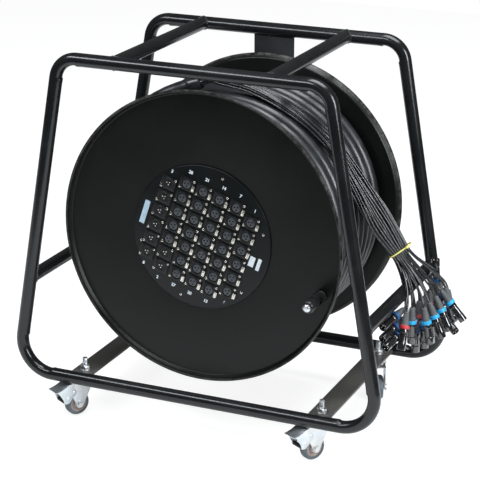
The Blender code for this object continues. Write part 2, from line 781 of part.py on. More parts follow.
def flange_profile(opening, inner_y, side):
    """A sheet disc whose rim is folded outwards. side is +1 where the rim points along +Y."""
    depth = RIM_DEPTH
    profile = [
        (FLANGE_R - RIM_BEAD, depth),
        (FLANGE_R, depth - RIM_BEAD),
        (RIM_FOLD_R, 0),
        (opening, 0),
        (opening, SHEET),
        (RIM_FOLD_R - FOLD_SETBACK, SHEET),
        (FLANGE_R - 2 * RIM_BEAD, depth - RIM_BEAD),
    ]
    placed = [(r, inner_y + side * z) for r, z in profile]
    return placed if side > 0 else placed[::-1]


def build_drum_shell(axis):
    back = flange_profile(BACK_OPENING_R, BACK_INNER_Y, 1)
    turned("back_flange", back, FLANGE_STEPS, "black_sheet", axis)
    front = flange_profile(PANEL_OPENING_R, FRONT_INNER_Y, -1)
    flange = turned("front_flange", front, FLANGE_STEPS, "black_sheet", axis)
    hole_r = (CRANK_BOLT_R + GAP) / math.cos(math.pi / ROD_SIDES)
    low, high = FRONT_OUTER_Y - SHEET, FRONT_INNER_Y + SHEET
    place = (CRANK_X, DRUM_Z - CRANK_Z)
    hole = rod_mesh("crank_hole", (*place, low), (*place, high), hole_r)
    boolean(flange, add_cutter("crank_hole", hole, axis), "DIFFERENCE")
    core = ring_profile(CORE_R - CORE_WALL, CORE_R, FRONT_INNER_Y + GAP, BACK_INNER_Y - GAP)
    turned("drum_core", core, CORE_STEPS, "black_sheet", axis)


def build_bearings(axis):
    top = BACK_INNER_Y - GAP
    housing = [
        (HOUSING_FLANGE_R, top),
        (HOUSING_FLANGE_R, top - HOUSING_FLANGE_THICK),
        (HOUSING_R, top - HOUSING_FLANGE_THICK),
        (HOUSING_R, HOUSING_FRONT_Y),
        (HOUSING_BORE_R, HOUSING_FRONT_Y),
        (HOUSING_BORE_R, top),
    ]
    turned("bearing_housing", housing, AXLE_STEPS, "steel", axis)
    half = BEARING_WIDTH / 2
    for name, y in (("rear_bearing", REAR_BEARING_Y), ("front_bearing", FRONT_BEARING_Y)):
        ring = ring_profile(BEARING_BORE_R, BEARING_R, y - half, y + half)
        turned(name, ring, AXLE_STEPS, "bearing_steel", axis)


def build_axle(axis):
    """The fixed axle, bolted to the post by its flange, and the nut that keeps the drum on it."""
    flange_top = POST_FRONT_Y - GAP
    flange_low = flange_top - AXLE_FLANGE_THICK
    end = LOOP_Y + POST_THICK / 2 + AXLE_PAST_POST
    step = AXLE_NUT_Y + AXLE_NUT_THICK + GAP
    profile = [
        (0, end),
        (AXLE_R, end),
        (AXLE_R, flange_top),
        (AXLE_FLANGE_R, flange_top),
        (AXLE_FLANGE_R, flange_low),
        (AXLE_R, flange_low),
        (AXLE_R, step),
        (AXLE_END_R, step),
        (AXLE_END_R, AXLE_NUT_Y - AXLE_PAST_NUT),
        (0, AXLE_NUT_Y - AXLE_PAST_NUT),
    ]
    turned("drum_axle", profile, AXLE_STEPS, "steel", axis)
    low, high = AXLE_NUT_Y, AXLE_NUT_Y + AXLE_NUT_THICK
    nut = add("axle_nut", hexagon_mesh("axle_nut", AXLE_NUT_ACROSS, low, high), "zinc", axis)
    bore_r = (AXLE_END_R + GAP) / math.cos(math.pi / BORE_SIDES)
    bore = rod_mesh("axle_nut_bore", (0, 0, low - GAP), (0, 0, high + GAP), bore_r, BORE_SIDES)
    boolean(nut, add_cutter("axle_nut_bore", bore, axis), "DIFFERENCE")


def grid_places():
    """Each connector as (column, u, v, is_male), in the turned grid's own plane."""
    places = []
    for column, rows in enumerate(ROWS):
        u = (column - (len(ROWS) - 1) / 2) * COLUMN_PITCH
        for row in range(rows):
            v = (row - (rows - 1) / 2) * ROW_PITCH
            male = column == MALE_COLUMN or (column == MALE_COLUMN + 1 and row < NEXT_MALE_COUNT)
            places.append((column, u, v, male))
    return places


def build_panel(axis, grid):
    disc = rod_mesh("connector_panel", (0, 0, PANEL_FRONT_Y), (0, 0, PANEL_BACK_Y), PANEL_R, FLANGE_STEPS)
    panel = add("connector_panel", disc, "black_sheet", axis)
    smooth(panel.data)

    def fill(shape):
        for _, u, v, _ in grid_places():
            put_rod(shape, (u, v, -2 * PANEL_THICK), (u, v, PANEL_THICK), HOLE_R, BARREL_SIDES)

    boolean(panel, add_cutter("connector_holes", mesh_of("connector_holes", fill), grid), "DIFFERENCE")


def put_plate(shape, u, v):
    """The oblong front of one connector, just in front of the panel."""
    half = Vector((FLANGE_ACROSS / 2, FLANGE_ALONG / 2))
    put_box(shape, (u - half.x, v - half.y, GAP), (u + half.x, v + half.y, GAP + FLANGE_THICK))


def build_female_column(column, places, grid):
    """One column of sockets, joined behind the panel by the strip that earths them."""
    name = f"socket_column_{column + 1}"
    u = places[0][1]
    bottom = min(v for _, _, v, _ in places)
    top = max(v for _, _, v, _ in places)
    back = -PANEL_THICK - BARREL_DEPTH
    half = STRIP_WIDTH / 2
    strip = box_mesh(name, (u - half, bottom, back), (u + half, top, back + STRIP_THICK))
    socket = add(name, strip, "connector", grid)
    front = GAP + FLANGE_THICK

    def barrels(shape):
        for _, _, v, _ in places:
            put_rod(shape, (u, v, back + STRIP_THICK / 2), (u, v, GAP + SINK), BARREL_R, BARREL_SIDES)

    def plates(shape):
        for _, _, v, _ in places:
            put_plate(shape, u, v)

    def recesses(shape):
        for _, _, v, _ in places:
            put_rod(shape, (u, v, front - INSERT_DEPTH), (u, v, front + INSERT_DEPTH), INSERT_R, BARREL_SIDES)

    for part, fill, operation in (
        ("barrels", barrels, "UNION"),
        ("plates", plates, "UNION"),
        ("recesses", recesses, "DIFFERENCE"),
    ):
        boolean(socket, add_cutter(f"{name}_{part}", mesh_of(part, fill), grid), operation)


def build_male(number, u, v, grid):
    """One hollow plug socket, whose pins scene work adds."""
    name = f"male_connector_{number}"
    back = -PANEL_THICK - BARREL_DEPTH
    front = GAP + FLANGE_THICK
    barrel = rod_mesh(name, (u, v, back), (u, v, GAP + SINK), BARREL_R, BARREL_SIDES)
    male = add(name, barrel, "connector", grid)
    plate = mesh_of("plate", lambda shape: put_plate(shape, u, v))
    boolean(male, add_cutter(f"{name}_plate", plate, grid), "UNION")
    bore = rod_mesh("bore", (u, v, front - CUP_DEPTH), (u, v, front + SINK), CUP_R, 10)
    boolean(male, add_cutter(f"{name}_bore", bore, grid), "DIFFERENCE")


def build_connectors(grid):
    places = grid_places()
    males = [place for place in places if place[3]]
    for number, (_, u, v, _) in enumerate(males, 1):
        build_male(number, u, v, grid)
    for column in range(len(ROWS)):
        sockets = [place for place in places if place[0] == column and not place[3]]
        if sockets:
            build_female_column(column, sockets, grid)


def build_crank(axis):
    """The crank: a bolt through the front flange and the grip that turns on it."""
    place = (CRANK_X, DRUM_Z - CRANK_Z)
    base = FRONT_OUTER_Y - GAP
    nut_front = base - CRANK_NUT_THICK
    grip_front = nut_front - GAP - GRIP_LENGTH
    head_back = grip_front - GAP
    head_front = head_back - CRANK_HEAD_THICK
    profile = [
        (0, FRONT_INNER_Y - GAP),
        (CRANK_BOLT_R, FRONT_INNER_Y - GAP),
        (CRANK_BOLT_R, head_back),
        (CRANK_HEAD_R, head_back),
        (CRANK_HEAD_R, head_front + CRANK_HEAD_EDGE),
        (CRANK_HEAD_R - CRANK_HEAD_EDGE, head_front),
        (0, head_front),
    ]
    bolt = turned("crank_bolt", profile, COPE_SIDES, "zinc", axis, (*place, 0))
    nut = hexagon_mesh("crank_nut", CRANK_NUT_ACROSS, nut_front, base)
    boolean(bolt, add_cutter("crank_nut", nut, axis, (*place, 0)), "UNION")
    bore = CRANK_BOLT_R + 2 * GAP
    top = nut_front - GAP
    grip = [
        (GRIP_R - GRIP_EDGE, top),
        (GRIP_R, top - GRIP_EDGE),
        (GRIP_R, grip_front + GRIP_EDGE),
        (GRIP_R - GRIP_EDGE, grip_front),
        (bore, grip_front),
        (bore, top),
    ]
    turned("crank_grip", grip, AXLE_STEPS, "plastic", axis, (*place, 0))


# Cable

def drum_point(radius, degrees, y):
    angle = math.radians(degrees)
    return np.array([radius * math.cos(angle), y, DRUM_Z + radius * math.sin(angle)])


def winding_route():
    """The outer layer from the back flange to the front one, the climb and the last lap over the layer."""
    step = 360 / LOOP_POINTS
    layer_steps = round(LAYER_TURNS * LOOP_POINTS)
    pitch = (BACK_LAYER_Y - FRONT_LAYER_Y) / layer_steps
    points = []
    for i in range(layer_steps + 1):
        degrees = LAYER_END_DEG + (layer_steps - i) * step
        points.append(drum_point(LAYER_R, degrees, BACK_LAYER_Y - i * pitch))
    for i in range(1, CLIMB_STEPS + 1):
        share = i / CLIMB_STEPS
        radius = LAYER_R + (LAP_R - LAYER_R) * share
        points.append(drum_point(radius, LAYER_END_DEG - i * step, FRONT_LAYER_Y))
    for i in range(1, LAP_STEPS + 1):
        degrees = LAYER_END_DEG - (CLIMB_STEPS + i) * step
        y = FRONT_LAYER_Y + (LAP_END_Y - FRONT_LAYER_Y) * i / LAP_STEPS
        points.append(drum_point(LAP_R, degrees, y))
    first = points[0] - points[1]
    points.insert(0, points[0] + first * CABLE_D / np.linalg.norm(first))
    return points


def cable_end(points):
    """Where the last lap stops, and its way there: square to the next spoke, with the lap's own slope."""
    step = math.radians(360 / LOOP_POINTS)
    degrees = math.radians(LAYER_END_DEG) - (CLIMB_STEPS + LAP_STEPS) * step
    slope = (LAP_END_Y - FRONT_LAYER_Y) / (LAP_R * LAP_STEPS * step)
    way = np.array([math.sin(degrees), slope, -math.cos(degrees)])
    way /= np.linalg.norm(way)
    return points[-1] + way * CABLE_D, way


def least_gap(points):
    """The winding's least distance to itself, between points half a turn or more apart along it."""
    route = np.array(points)
    fine = np.concatenate([route[:-1] + (route[1:] - route[:-1]) * t for t in (0, 0.25, 0.5, 0.75)])
    order = np.concatenate([np.arange(len(route) - 1) + t for t in (0, 0.25, 0.5, 0.75)])
    least = np.inf
    for place, at in zip(fine, order):
        far = np.abs(order - at) > LOOP_POINTS / 2
        least = min(least, np.linalg.norm(fine[far] - place, axis=1).min())
    return least - CABLE_D


def build_winding(axis):
    core = ring_profile(CORE_R + 2 * GAP, CABLE_CORE_R, FRONT_INNER_Y + GAP, BACK_INNER_Y - GAP)
    turned("cable_core", core, CORE_STEPS, "cable", axis)
    points = winding_route()
    end, way = cable_end(points)
    points.append(end)
    print(f"least gap of the winding to itself: {1000 * least_gap(points):.2f} mm")
    tube("cable_winding", points, CABLE_D / 2, 1, "cable")
    start = end + way * GAP
    tip = start + way * SLEEVE_LENGTH
    cone = rod_mesh("sleeve", start, tip, SLEEVE_R, ROD_SIDES, SLEEVE_TIP_R)
    sleeve = add("breakout_sleeve", cone, "plastic")
    smooth(sleeve.data)
    return tip, way


# Tails

def build_tails(tip, way):
    """The bundle over the drum to the tie, the fan over the side tube, and the tie itself."""
    start = tip + way * GAP
    straight = start + way * 2 * BUNDLE_R
    rows = [(*start, BUNDLE_R, BUNDLE_R), (*straight, BUNDLE_R * 1.1, BUNDLE_R * 0.95)]
    for radius, degrees, y, half_width, half_thick in OVER_DRUM:
        rows.append((*drum_point(radius, degrees, y), half_width, half_thick))
    rows += TO_TIE
    tie = np.array(TIE_PLACE)
    down = np.array(OVER_TUBE[0][:3]) - np.array(TO_TIE[-1][:3])
    down /= np.linalg.norm(down)
    upper = smooth_route([*rows, tie], 2)
    upper[-1, :3] -= down * GAP
    bundle = add("tail_ribbon", loft_mesh("tail_ribbon", bundle_rings(upper, way, down)), "cable")
    smooth(bundle.data, 60)
    lower = smooth_route([tie, *OVER_TUBE], 2)
    fan = add("tail_fan", loft_mesh("tail_fan", bundle_rings(lower, down, (0, 0, -1))), "cable")
    smooth(fan.data, 60)
    reach = TIE_R + TIE_CLEARANCE
    ring = flat_ring(tie[:3], down, tie[3] + reach, tie[4] + reach + TIE_CORNER, TIE_SIDES)
    tube("cable_tie", [tuple(point) for point in ring], TIE_R, 1, "tie", cyclic=True)


def build_plugs():
    """The plugs that show at the front of the bunch, and one plain solid for those behind them."""
    end_z = OVER_TUBE[-1][2]
    length = PLUG_LENGTH
    ring_top = length - PLUG_BOOT_LENGTH
    ring_low = ring_top - PLUG_RING_LENGTH
    profile = [
        (0, length),
        (PLUG_BOOT_TIP_R, length),
        (PLUG_R, ring_top),
        (PLUG_RING_R, ring_top),
        (PLUG_RING_R, ring_low),
        (PLUG_R, ring_low),
        (PLUG_R, 0),
        (PLUG_BORE_R, 0),
        (PLUG_BORE_R, PLUG_BORE_DEPTH),
        (0, PLUG_BORE_DEPTH),
    ]
    for number, ((x, y), way) in enumerate(PLUG_PLACES, 1):
        way = Vector(way).normalized()
        tilt = math.sqrt(max(0.0, 1 - way.z**2))
        top = Vector((x, y, end_z - GAP - PLUG_BOOT_TIP_R * tilt))
        plug = turned(f"tail_plug_{number}", profile, PLUG_STEPS, "plastic")
        plug.location = top + way * length
        plug.rotation_euler = (-way).to_track_quat("Z", "Y").to_euler()
    low = (CLUSTER_X[0], CLUSTER_Y[0], end_z - GAP - CLUSTER_DROP)
    high = (CLUSTER_X[1], CLUSTER_Y[1], end_z - GAP)
    cluster = add("plug_cluster", box_mesh("plug_cluster", low, high), "plastic")
    round_edges = cluster.modifiers.new("round edges", "BEVEL")
    round_edges.width = CLUSTER_ROUND
    round_edges.segments = 2


def main():
    build_loops()
    build_cross_tubes()
    build_bars()
    build_post()
    build_casters()
    # Local Z of the drum's empty runs along world +Y, and that of the grid's out of the panel
    axis = add_empty("drum_axis", (0, 0, DRUM_Z), (-math.pi / 2, 0, 0), MIDDLE)
    grid_turn = (math.pi / 2, GRID_TURN, 0)
    grid = add_empty("connector_grid", (GRID_SHIFT_X, PANEL_FRONT_Y, DRUM_Z), grid_turn, MIDDLE)
    build_drum_shell(axis)
    build_bearings(axis)
    build_axle(axis)
    build_panel(axis, grid)
    build_connectors(grid)
    build_crank(axis)
    tip, way = build_winding(axis)
    build_tails(tip, way)
    build_plugs()


clear_scene()
PARTS = new_collection("multicore_cable_drum")
CUTTERS = new_collection("cutters")
MIDDLE = add_empty("frame_middle", (0, FRAME_Y, 0))
main()
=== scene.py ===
"""Looks of the multicore cable drum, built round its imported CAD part."""

import math

import bmesh
import bpy
import numpy as np
from mathutils import Euler, Matrix, Vector


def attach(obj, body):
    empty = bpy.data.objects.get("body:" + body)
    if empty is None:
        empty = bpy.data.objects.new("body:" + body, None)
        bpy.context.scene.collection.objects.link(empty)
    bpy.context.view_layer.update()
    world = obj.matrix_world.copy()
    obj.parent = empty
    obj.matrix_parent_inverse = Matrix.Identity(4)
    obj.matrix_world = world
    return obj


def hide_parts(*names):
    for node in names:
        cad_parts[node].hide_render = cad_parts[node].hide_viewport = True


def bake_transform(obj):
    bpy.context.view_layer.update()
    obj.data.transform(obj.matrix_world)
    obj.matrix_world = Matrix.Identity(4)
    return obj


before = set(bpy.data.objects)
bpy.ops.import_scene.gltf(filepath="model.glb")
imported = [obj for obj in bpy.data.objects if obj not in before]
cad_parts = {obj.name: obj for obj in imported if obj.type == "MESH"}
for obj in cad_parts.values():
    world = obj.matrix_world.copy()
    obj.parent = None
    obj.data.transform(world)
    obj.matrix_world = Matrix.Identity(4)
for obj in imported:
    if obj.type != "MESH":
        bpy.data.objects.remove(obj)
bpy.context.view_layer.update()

# The frame's middle between its two loops lies this far behind the origin
MIDDLE_Y = 0.010556
GAP = 0.0003

# Camera of the photograph
CAMERA_PLACE = (1.3575, -3.0631, 1.5002)
CAMERA_TURN = (23.6171, 18.8764, 0.1838)
CAMERA_LENS = 133.88

# Frame
TUBE_R = 0.013
LOOP_Y = 0.2008
RAIL_HALF_TOP = 0.272
RAIL_HALF_FOOT = 0.385
BOTTOM_RAIL_Z = 0.088
TOP_RAIL_Z = 0.738
BEND_TOP = 0.045
BEND_FOOT = 0.065
CROSSBAR_X = 0.156
SIDE_TUBE_Z = 0.287
BAR_X = 0.255
BAR_WIDTH = 0.045
BAR_THICK = 0.005
POST_WIDTH = 0.086
SIDES = (("left", -1), ("right", 1))

# Casters
STUD_Y = 0.1608
TRAIL = 0.022
WHEEL_R = 0.025
FRONT_TRAIL = math.radians(-121.4)
BACK_TRAIL = math.radians(-66.4)
FORK_TOP_Z = 0.0735
FORK_INSIDE = 0.023
FORK_THICK = 0.0025
NUT_HEIGHT = 0.008
STUD_OVER_NUT = 0.018

# Drum
DRUM_Z = 0.404
FLANGE_R = 0.290
FRONT_INNER_Y = -0.1475
BACK_INNER_Y = 0.166
PANEL_R = 0.1433
PANEL_FRONT_Y = -0.1533
GRID_TURN = math.radians(18.4)
GRID_SHIFT_X = -0.006
COLUMN_PITCH = 0.0361
ROW_PITCH = 0.0303
CONTACT_ANGLES = (49, 169, 289)
ROWS = (6, 7, 7, 7, 7, 6)
RIM_SCREWS_R = 0.1300
CRANK_X = 0.244
CRANK_Z = 0.3215
CRANK_NUT_HEIGHT = 0.006
GRIP_LENGTH = 0.062

# Cable and tails
CABLE_D = 0.028
LAYER_R = 0.244
LAP_R = 0.273
LAYER_TURNS = 9.75
LAYER_END_DEG = 322.0
LAYER_MIDDLE_R = LAYER_R - 0.0006
LAYER_START_Y = 0.151
LAYER_END_Y = -0.1325
CLIMB_DEG = 60
LAP_DEG = 150
LAP_END_Y = -0.035
SLEEVE_REACH = 0.0222


# Finishes

def node_group(name, inputs, outputs):
    """An empty shader group with named sockets. Each entry is (socket kind, name, default)."""
    group = bpy.data.node_groups.new(name, "ShaderNodeTree")
    for kind, socket, default in inputs:
        made = group.interface.new_socket(name=socket, in_out="INPUT", socket_type=f"NodeSocket{kind}")
        if default is not None:
            made.default_value = default
    for kind, socket in outputs:
        group.interface.new_socket(name=socket, in_out="OUTPUT", socket_type=f"NodeSocket{kind}")
    return group, group.nodes.new("NodeGroupInput"), group.nodes.new("NodeGroupOutput")


def feed(tree, socket, value):
    """Links a node's output to the socket, or sets the socket to a plain value."""
    if isinstance(value, bpy.types.NodeSocket):
        tree.links.new(value, socket)
    else:
        socket.default_value = value


def added(tree, kind, **values):
    """A new node with its inputs fed by name; an underscore stands for a space."""
    node = tree.nodes.new(kind)
    for name, value in values.items():
        feed(tree, node.inputs[name.replace("_", " ")], value)
    return node


def noise(tree, vector, scale, detail=4.0, roughness=0.55):
    node = added(tree, "ShaderNodeTexNoise", Vector=vector, Scale=scale, Detail=detail, Roughness=roughness)
    return node.outputs["Fac"]


def spread(tree, value, low, high, new_low=0.0, new_high=1.0):
    """The value's range from low to high stretched to another range, smoothly."""
    ends = {"From_Min": low, "From_Max": high, "To_Min": new_low, "To_Max": new_high}
    node = added(tree, "ShaderNodeMapRange", Value=value, **ends)
    node.interpolation_type = "SMOOTHSTEP"
    return node.outputs["Result"]


def maths(tree, operation, first, second):
    node = tree.nodes.new("ShaderNodeMath")
    node.operation = operation
    for socket, value in zip(node.inputs, (first, second)):
        feed(tree, socket, value)
    return node.outputs[0]


def mixed(tree, factor, first, second):
    node = tree.nodes.new("ShaderNodeMix")
    node.data_type = "RGBA"
    for socket, value in zip((node.inputs[0], node.inputs[6], node.inputs[7]), (factor, first, second)):
        feed(tree, socket, value)
    return node.outputs[2]


def bumped(tree, height, strength, distance):
    node = added(tree, "ShaderNodeBump", Height=height, Strength=strength, Distance=distance)
    return node.outputs["Normal"]


LOOK_OUTPUTS = (("Color", "Color"), ("Float", "Roughness"), ("Vector", "Normal"))


def tone_and_gloss(group, given, out, pattern, low, high, second="Second Tone"):
    """Mixes the two tones and the two gloss values by the same pattern."""
    tones = mixed(group, spread(group, pattern, low, high), given.outputs["Tone"], given.outputs[second])
    group.links.new(tones, out.inputs["Color"])
    gloss = spread(group, pattern, 0.3, 0.7, given.outputs["Gloss Low"], given.outputs["Gloss High"])
    group.links.new(gloss, out.inputs["Roughness"])


def make_coat_group():
    """Powder coat or moulded plastic: patches of two tones, a fine orange peel and uneven gloss."""
    group, given, out = node_group(
        "coat_finish",
        (
            ("Vector", "Vector", None),
            ("Color", "Tone", (0.02, 0.02, 0.02, 1)),
            ("Color", "Second Tone", (0.03, 0.03, 0.03, 1)),
            ("Float", "Patch Scale", 9.0),
            ("Float", "Gloss Low", 0.35),
            ("Float", "Gloss High", 0.45),
            ("Float", "Peel Scale", 900.0),
            ("Float", "Peel Strength", 0.15),
        ),
        LOOK_OUTPUTS,
    )
    vector = given.outputs["Vector"]
    patches = noise(group, vector, given.outputs["Patch Scale"], 5.0, 0.6)
    tone_and_gloss(group, given, out, patches, 0.35, 0.7)
    peel = noise(group, vector, given.outputs["Peel Scale"], 2.0, 0.5)
    group.links.new(bumped(group, peel, given.outputs["Peel Strength"], 0.0004), out.inputs["Normal"])
    return group


def make_plated_group():
    """Zinc or nickel: bluish and yellowish clouds, fine scratches and uneven gloss."""
    group, given, out = node_group(
        "plated_finish",
        (
            ("Vector", "Vector", None),
            ("Color", "Tone", (0.62, 0.64, 0.67, 1)),
            ("Color", "Second Tone", (0.72, 0.70, 0.66, 1)),
            ("Float", "Cloud Scale", 60.0),
            ("Float", "Gloss Low", 0.18),
            ("Float", "Gloss High", 0.34),
            ("Float", "Scratch Strength", 0.12),
        ),
        LOOK_OUTPUTS,
    )
    vector = given.outputs["Vector"]
    clouds = noise(group, vector, given.outputs["Cloud Scale"], 4.0, 0.6)
    tone_and_gloss(group, given, out, clouds, 0.35, 0.65)
    stretch = added(
        group, "ShaderNodeMapping", Vector=vector, Rotation=(0.3, 0.4, 0.6), Scale=(1.0, 0.06, 1.0)
    )
    lines = noise(group, stretch.outputs["Vector"], 1400.0, 2.0, 0.5)
    group.links.new(bumped(group, lines, given.outputs["Scratch Strength"], 0.0002), out.inputs["Normal"])
    return group


def make_sheath_group():
    """A cable's sheath: soft lengthwise drawing lines from its UV, scuffs and dusty patches."""
    group, given, out = node_group(
        "sheath_finish",
        (
            ("Vector", "Vector", None),
            ("Vector", "UV", None),
            ("Color", "Tone", (0.03, 0.032, 0.036, 1)),
            ("Color", "Dust Tone", (0.08, 0.08, 0.085, 1)),
            ("Float", "Scuff Scale", 25.0),
            ("Float", "Gloss Low", 0.3),
            ("Float", "Gloss High", 0.5),
            ("Float", "Line Strength", 0.1),
        ),
        LOOK_OUTPUTS,
    )
    scuffs = noise(group, given.outputs["Vector"], given.outputs["Scuff Scale"], 6.0, 0.65)
    tone_and_gloss(group, given, out, scuffs, 0.45, 0.8, "Dust Tone")
    stretch = added(group, "ShaderNodeMapping", Vector=given.outputs["UV"], Scale=(24.0, 4.0, 1.0))
    drawn = noise(group, stretch.outputs["Vector"], 1.0, 3.0, 0.5)
    fine = noise(group, given.outputs["Vector"], 700.0, 2.0, 0.5)
    both = maths(group, "ADD", drawn, maths(group, "MULTIPLY", fine, 0.4))
    group.links.new(bumped(group, both, given.outputs["Line Strength"], 0.0006), out.inputs["Normal"])
    return group


COAT = make_coat_group()
PLATED = make_plated_group()
SHEATH = make_sheath_group()


def finish(name, group, values, metallic=0.0, specular=0.5, coat=0.0, uv=False, tweak=None):
    """A material whose colour, gloss and surface come from one of the groups."""
    material = bpy.data.materials.new(name)
    material.use_nodes = True
    tree = material.node_tree
    shader = tree.nodes["Principled BSDF"]
    coordinates = tree.nodes.new("ShaderNodeTexCoord")
    looks = tree.nodes.new("ShaderNodeGroup")
    looks.node_tree = group
    tree.links.new(coordinates.outputs["Object"], looks.inputs["Vector"])
    if uv:
        tree.links.new(coordinates.outputs["UV"], looks.inputs["UV"])
    for socket, value in values.items():
        looks.inputs[socket].default_value = (*value, 1) if isinstance(value, tuple) else value
    colour = looks.outputs["Color"]
    if tweak:
        colour = tweak(tree, coordinates, colour)
    for socket, value in (
        ("Base Color", colour), ("Roughness", looks.outputs["Roughness"]),
        ("Normal", looks.outputs["Normal"]), ("Metallic", metallic), ("Specular IOR Level", specular),
        ("Coat Weight", coat), ("Coat Roughness", 0.12)
    ):
        feed(tree, shader.inputs[socket], value)
    return material


def coated(name, tone, second, gloss, specular=0.5, peel=(900.0, 0.15), patch=9.0, coat=0.0, tweak=None):
    values = {
        "Tone": tone,
        "Second Tone": second,
        "Gloss Low": gloss[0],
        "Gloss High": gloss[1],
        "Patch Scale": patch,
        "Peel Scale": peel[0],
        "Peel Strength": peel[1],
    }
    return finish(name, COAT, values, 0.0, specular, coat, tweak=tweak)


def plated(name, tone, second, gloss, scratch=0.12, cloud=60.0):
    values = {
        "Tone": tone,
        "Second Tone": second,
        "Gloss Low": gloss[0],
        "Gloss High": gloss[1],
        "Scratch Strength": scratch,
        "Cloud Scale": cloud,
    }
    return finish(name, PLATED, values, 1.0)


def sheath(name, tone, dust, gloss, specular=0.5, lines=0.1):
    values = {
        "Tone": tone,
        "Dust Tone": dust,
        "Gloss Low": gloss[0],
        "Gloss High": gloss[1],
        "Line Strength": lines,
    }
    return finish(name, SHEATH, values, 0.0, specular, uv=True)


def rubbed_rim(tree, coordinates, colour):
    """The coat of a flange is rubbed to a brownish grey along its outer edge."""
    parts = added(tree, "ShaderNodeSeparateXYZ", Vector=coordinates.outputs["Object"])
    across = parts.outputs["X"]
    up = maths(tree, "SUBTRACT", parts.outputs["Z"], DRUM_Z)
    squares = maths(
        tree, "ADD", maths(tree, "MULTIPLY", across, across), maths(tree, "MULTIPLY", up, up)
    )
    radius = maths(tree, "SQRT", squares, 0.0)
    edge = spread(tree, radius, FLANGE_R - 0.0065, FLANGE_R - 0.0015)
    broken = spread(tree, noise(tree, coordinates.outputs["Object"], 70.0, 5.0, 0.65), 0.35, 0.65)
    return mixed(tree, maths(tree, "MULTIPLY", edge, broken), colour, (0.058, 0.057, 0.055, 1))


TUBE_BLACK = coated(
    "tube_powder_coat", (0.0060, 0.0065, 0.0072), (0.0095, 0.0102, 0.0112), (0.16, 0.24), 0.46,
    (1100.0, 0.06)
)
SHEET_BLACK = coated(
    "flange_powder_coat", (0.0030, 0.0035, 0.0031), (0.0046, 0.0050, 0.0042), (0.30, 0.38), 0.27,
    (1300.0, 0.14), 6.0,
    tweak=rubbed_rim,
)
BAR_BLACK = coated(
    "bar_powder_coat", (0.055, 0.053, 0.049), (0.082, 0.079, 0.073), (0.36, 0.48), 0.5, (1000.0, 0.16), 14.0
)
POST_BLACK = coated(
    "post_powder_coat", (0.019, 0.021, 0.0225), (0.028, 0.031, 0.033), (0.32, 0.42), 0.5, (1000.0, 0.16),
    14.0
)
PANEL_BLACK = coated(
    "panel_paint", (0.0042, 0.0060, 0.0064), (0.0065, 0.0082, 0.0086), (0.32, 0.40), 0.24, (1600.0, 0.08),
    16.0
)
CASTING_BLACK = coated(
    "connector_casting", (0.0045, 0.0045, 0.0048), (0.0085, 0.0085, 0.0090), (0.36, 0.48), 0.36,
    (2500.0, 0.2), 90.0
)
INSERT_GREY = coated(
    "connector_insert", (0.040, 0.047, 0.056), (0.052, 0.060, 0.070), (0.4, 0.5), 0.5, (2500.0, 0.1), 120.0
)
# Near-black for the dark inserts deep in the male cups and plug shells, and painted shade: socket holes,
# grooves, keyways and screw recesses coloured dark for the shade inside them.
INSERT_AND_RECESS_SHADE = coated(
    "insert_and_recess_shade", (0.0022, 0.0022, 0.0022), (0.0040, 0.0040, 0.0040), (0.5, 0.65), 0.2, (2500.0, 0.1), 120.0
)
GRIP_BLACK = coated(
    "grip_plastic", (0.010, 0.010, 0.011), (0.018, 0.018, 0.019), (0.22, 0.34), 0.5, (1500.0, 0.08), 60.0
)
SHELL_BLACK = coated(
    "plug_shell", (0.006, 0.006, 0.007), (0.012, 0.012, 0.014), (0.10, 0.20), 0.8, (2000.0, 0.04), 80.0, 1.0
)
BOOT_GREY = coated(
    "plug_boot", (0.088, 0.094, 0.098), (0.114, 0.120, 0.126), (0.55, 0.7), 0.4, (2200.0, 0.2), 90.0
)
RING_BLUE = coated(
    "ring_blue", (0.012, 0.33, 0.68), (0.016, 0.38, 0.75), (0.35, 0.45), 0.5, (2000.0, 0.06), 90.0
)
RING_NAVY = coated(
    "ring_navy", (0.012, 0.07, 0.20), (0.02, 0.10, 0.26), (0.38, 0.5), 0.5, (2000.0, 0.06), 90.0
)
RING_RED = coated(
    "ring_red", (0.48, 0.03, 0.035), (0.56, 0.045, 0.05), (0.35, 0.45), 0.5, (2000.0, 0.06), 90.0
)
INK_WHITE = coated(
    "number_ink", (0.62, 0.70, 0.76), (0.72, 0.78, 0.82), (0.45, 0.6), 0.4, (2500.0, 0.05), 200.0
)
STRIP_PALE = coated(
    "blank_strip", (0.34, 0.48, 0.58), (0.44, 0.56, 0.64), (0.4, 0.5), 0.4, (2500.0, 0.05), 150.0
)
STRIP_WHITE = coated(
    "blank_label", (0.60, 0.68, 0.74), (0.70, 0.76, 0.80), (0.4, 0.5), 0.4, (2500.0, 0.05), 150.0
)
TIE_YELLOW = coated(
    "tie_plastic", (0.62, 0.56, 0.13), (0.70, 0.64, 0.18), (0.35, 0.5), 0.5, (1800.0, 0.1), 120.0
)
TYRE_GREY = coated(
    "tyre_rubber", (0.10, 0.125, 0.145), (0.14, 0.165, 0.185), (0.5, 0.68), 0.4, (1500.0, 0.25), 60.0
)
HUB_PINK = coated(
    "hub_plastic", (0.34, 0.27, 0.25), (0.42, 0.34, 0.31), (0.45, 0.6), 0.4, (1500.0, 0.12), 60.0
)
SHOE_BLACK = coated(
    "brake_shoe", (0.012, 0.012, 0.012), (0.02, 0.02, 0.02), (0.6, 0.75), 0.3, (1500.0, 0.2), 80.0
)
PIN_SILVER = coated(
    "contact_silver", (0.72, 0.71, 0.68), (0.84, 0.83, 0.80), (0.30, 0.42), 0.6, (1500.0, 0.05), 200.0
)
ZINC = plated("zinc_plate", (0.70, 0.74, 0.78), (0.80, 0.81, 0.80), (0.30, 0.44), 0.1, 30.0)
PEDAL_ZINC = plated("pedal_plate", (0.66, 0.72, 0.76), (0.78, 0.80, 0.81), (0.34, 0.46), 0.08, 30.0)
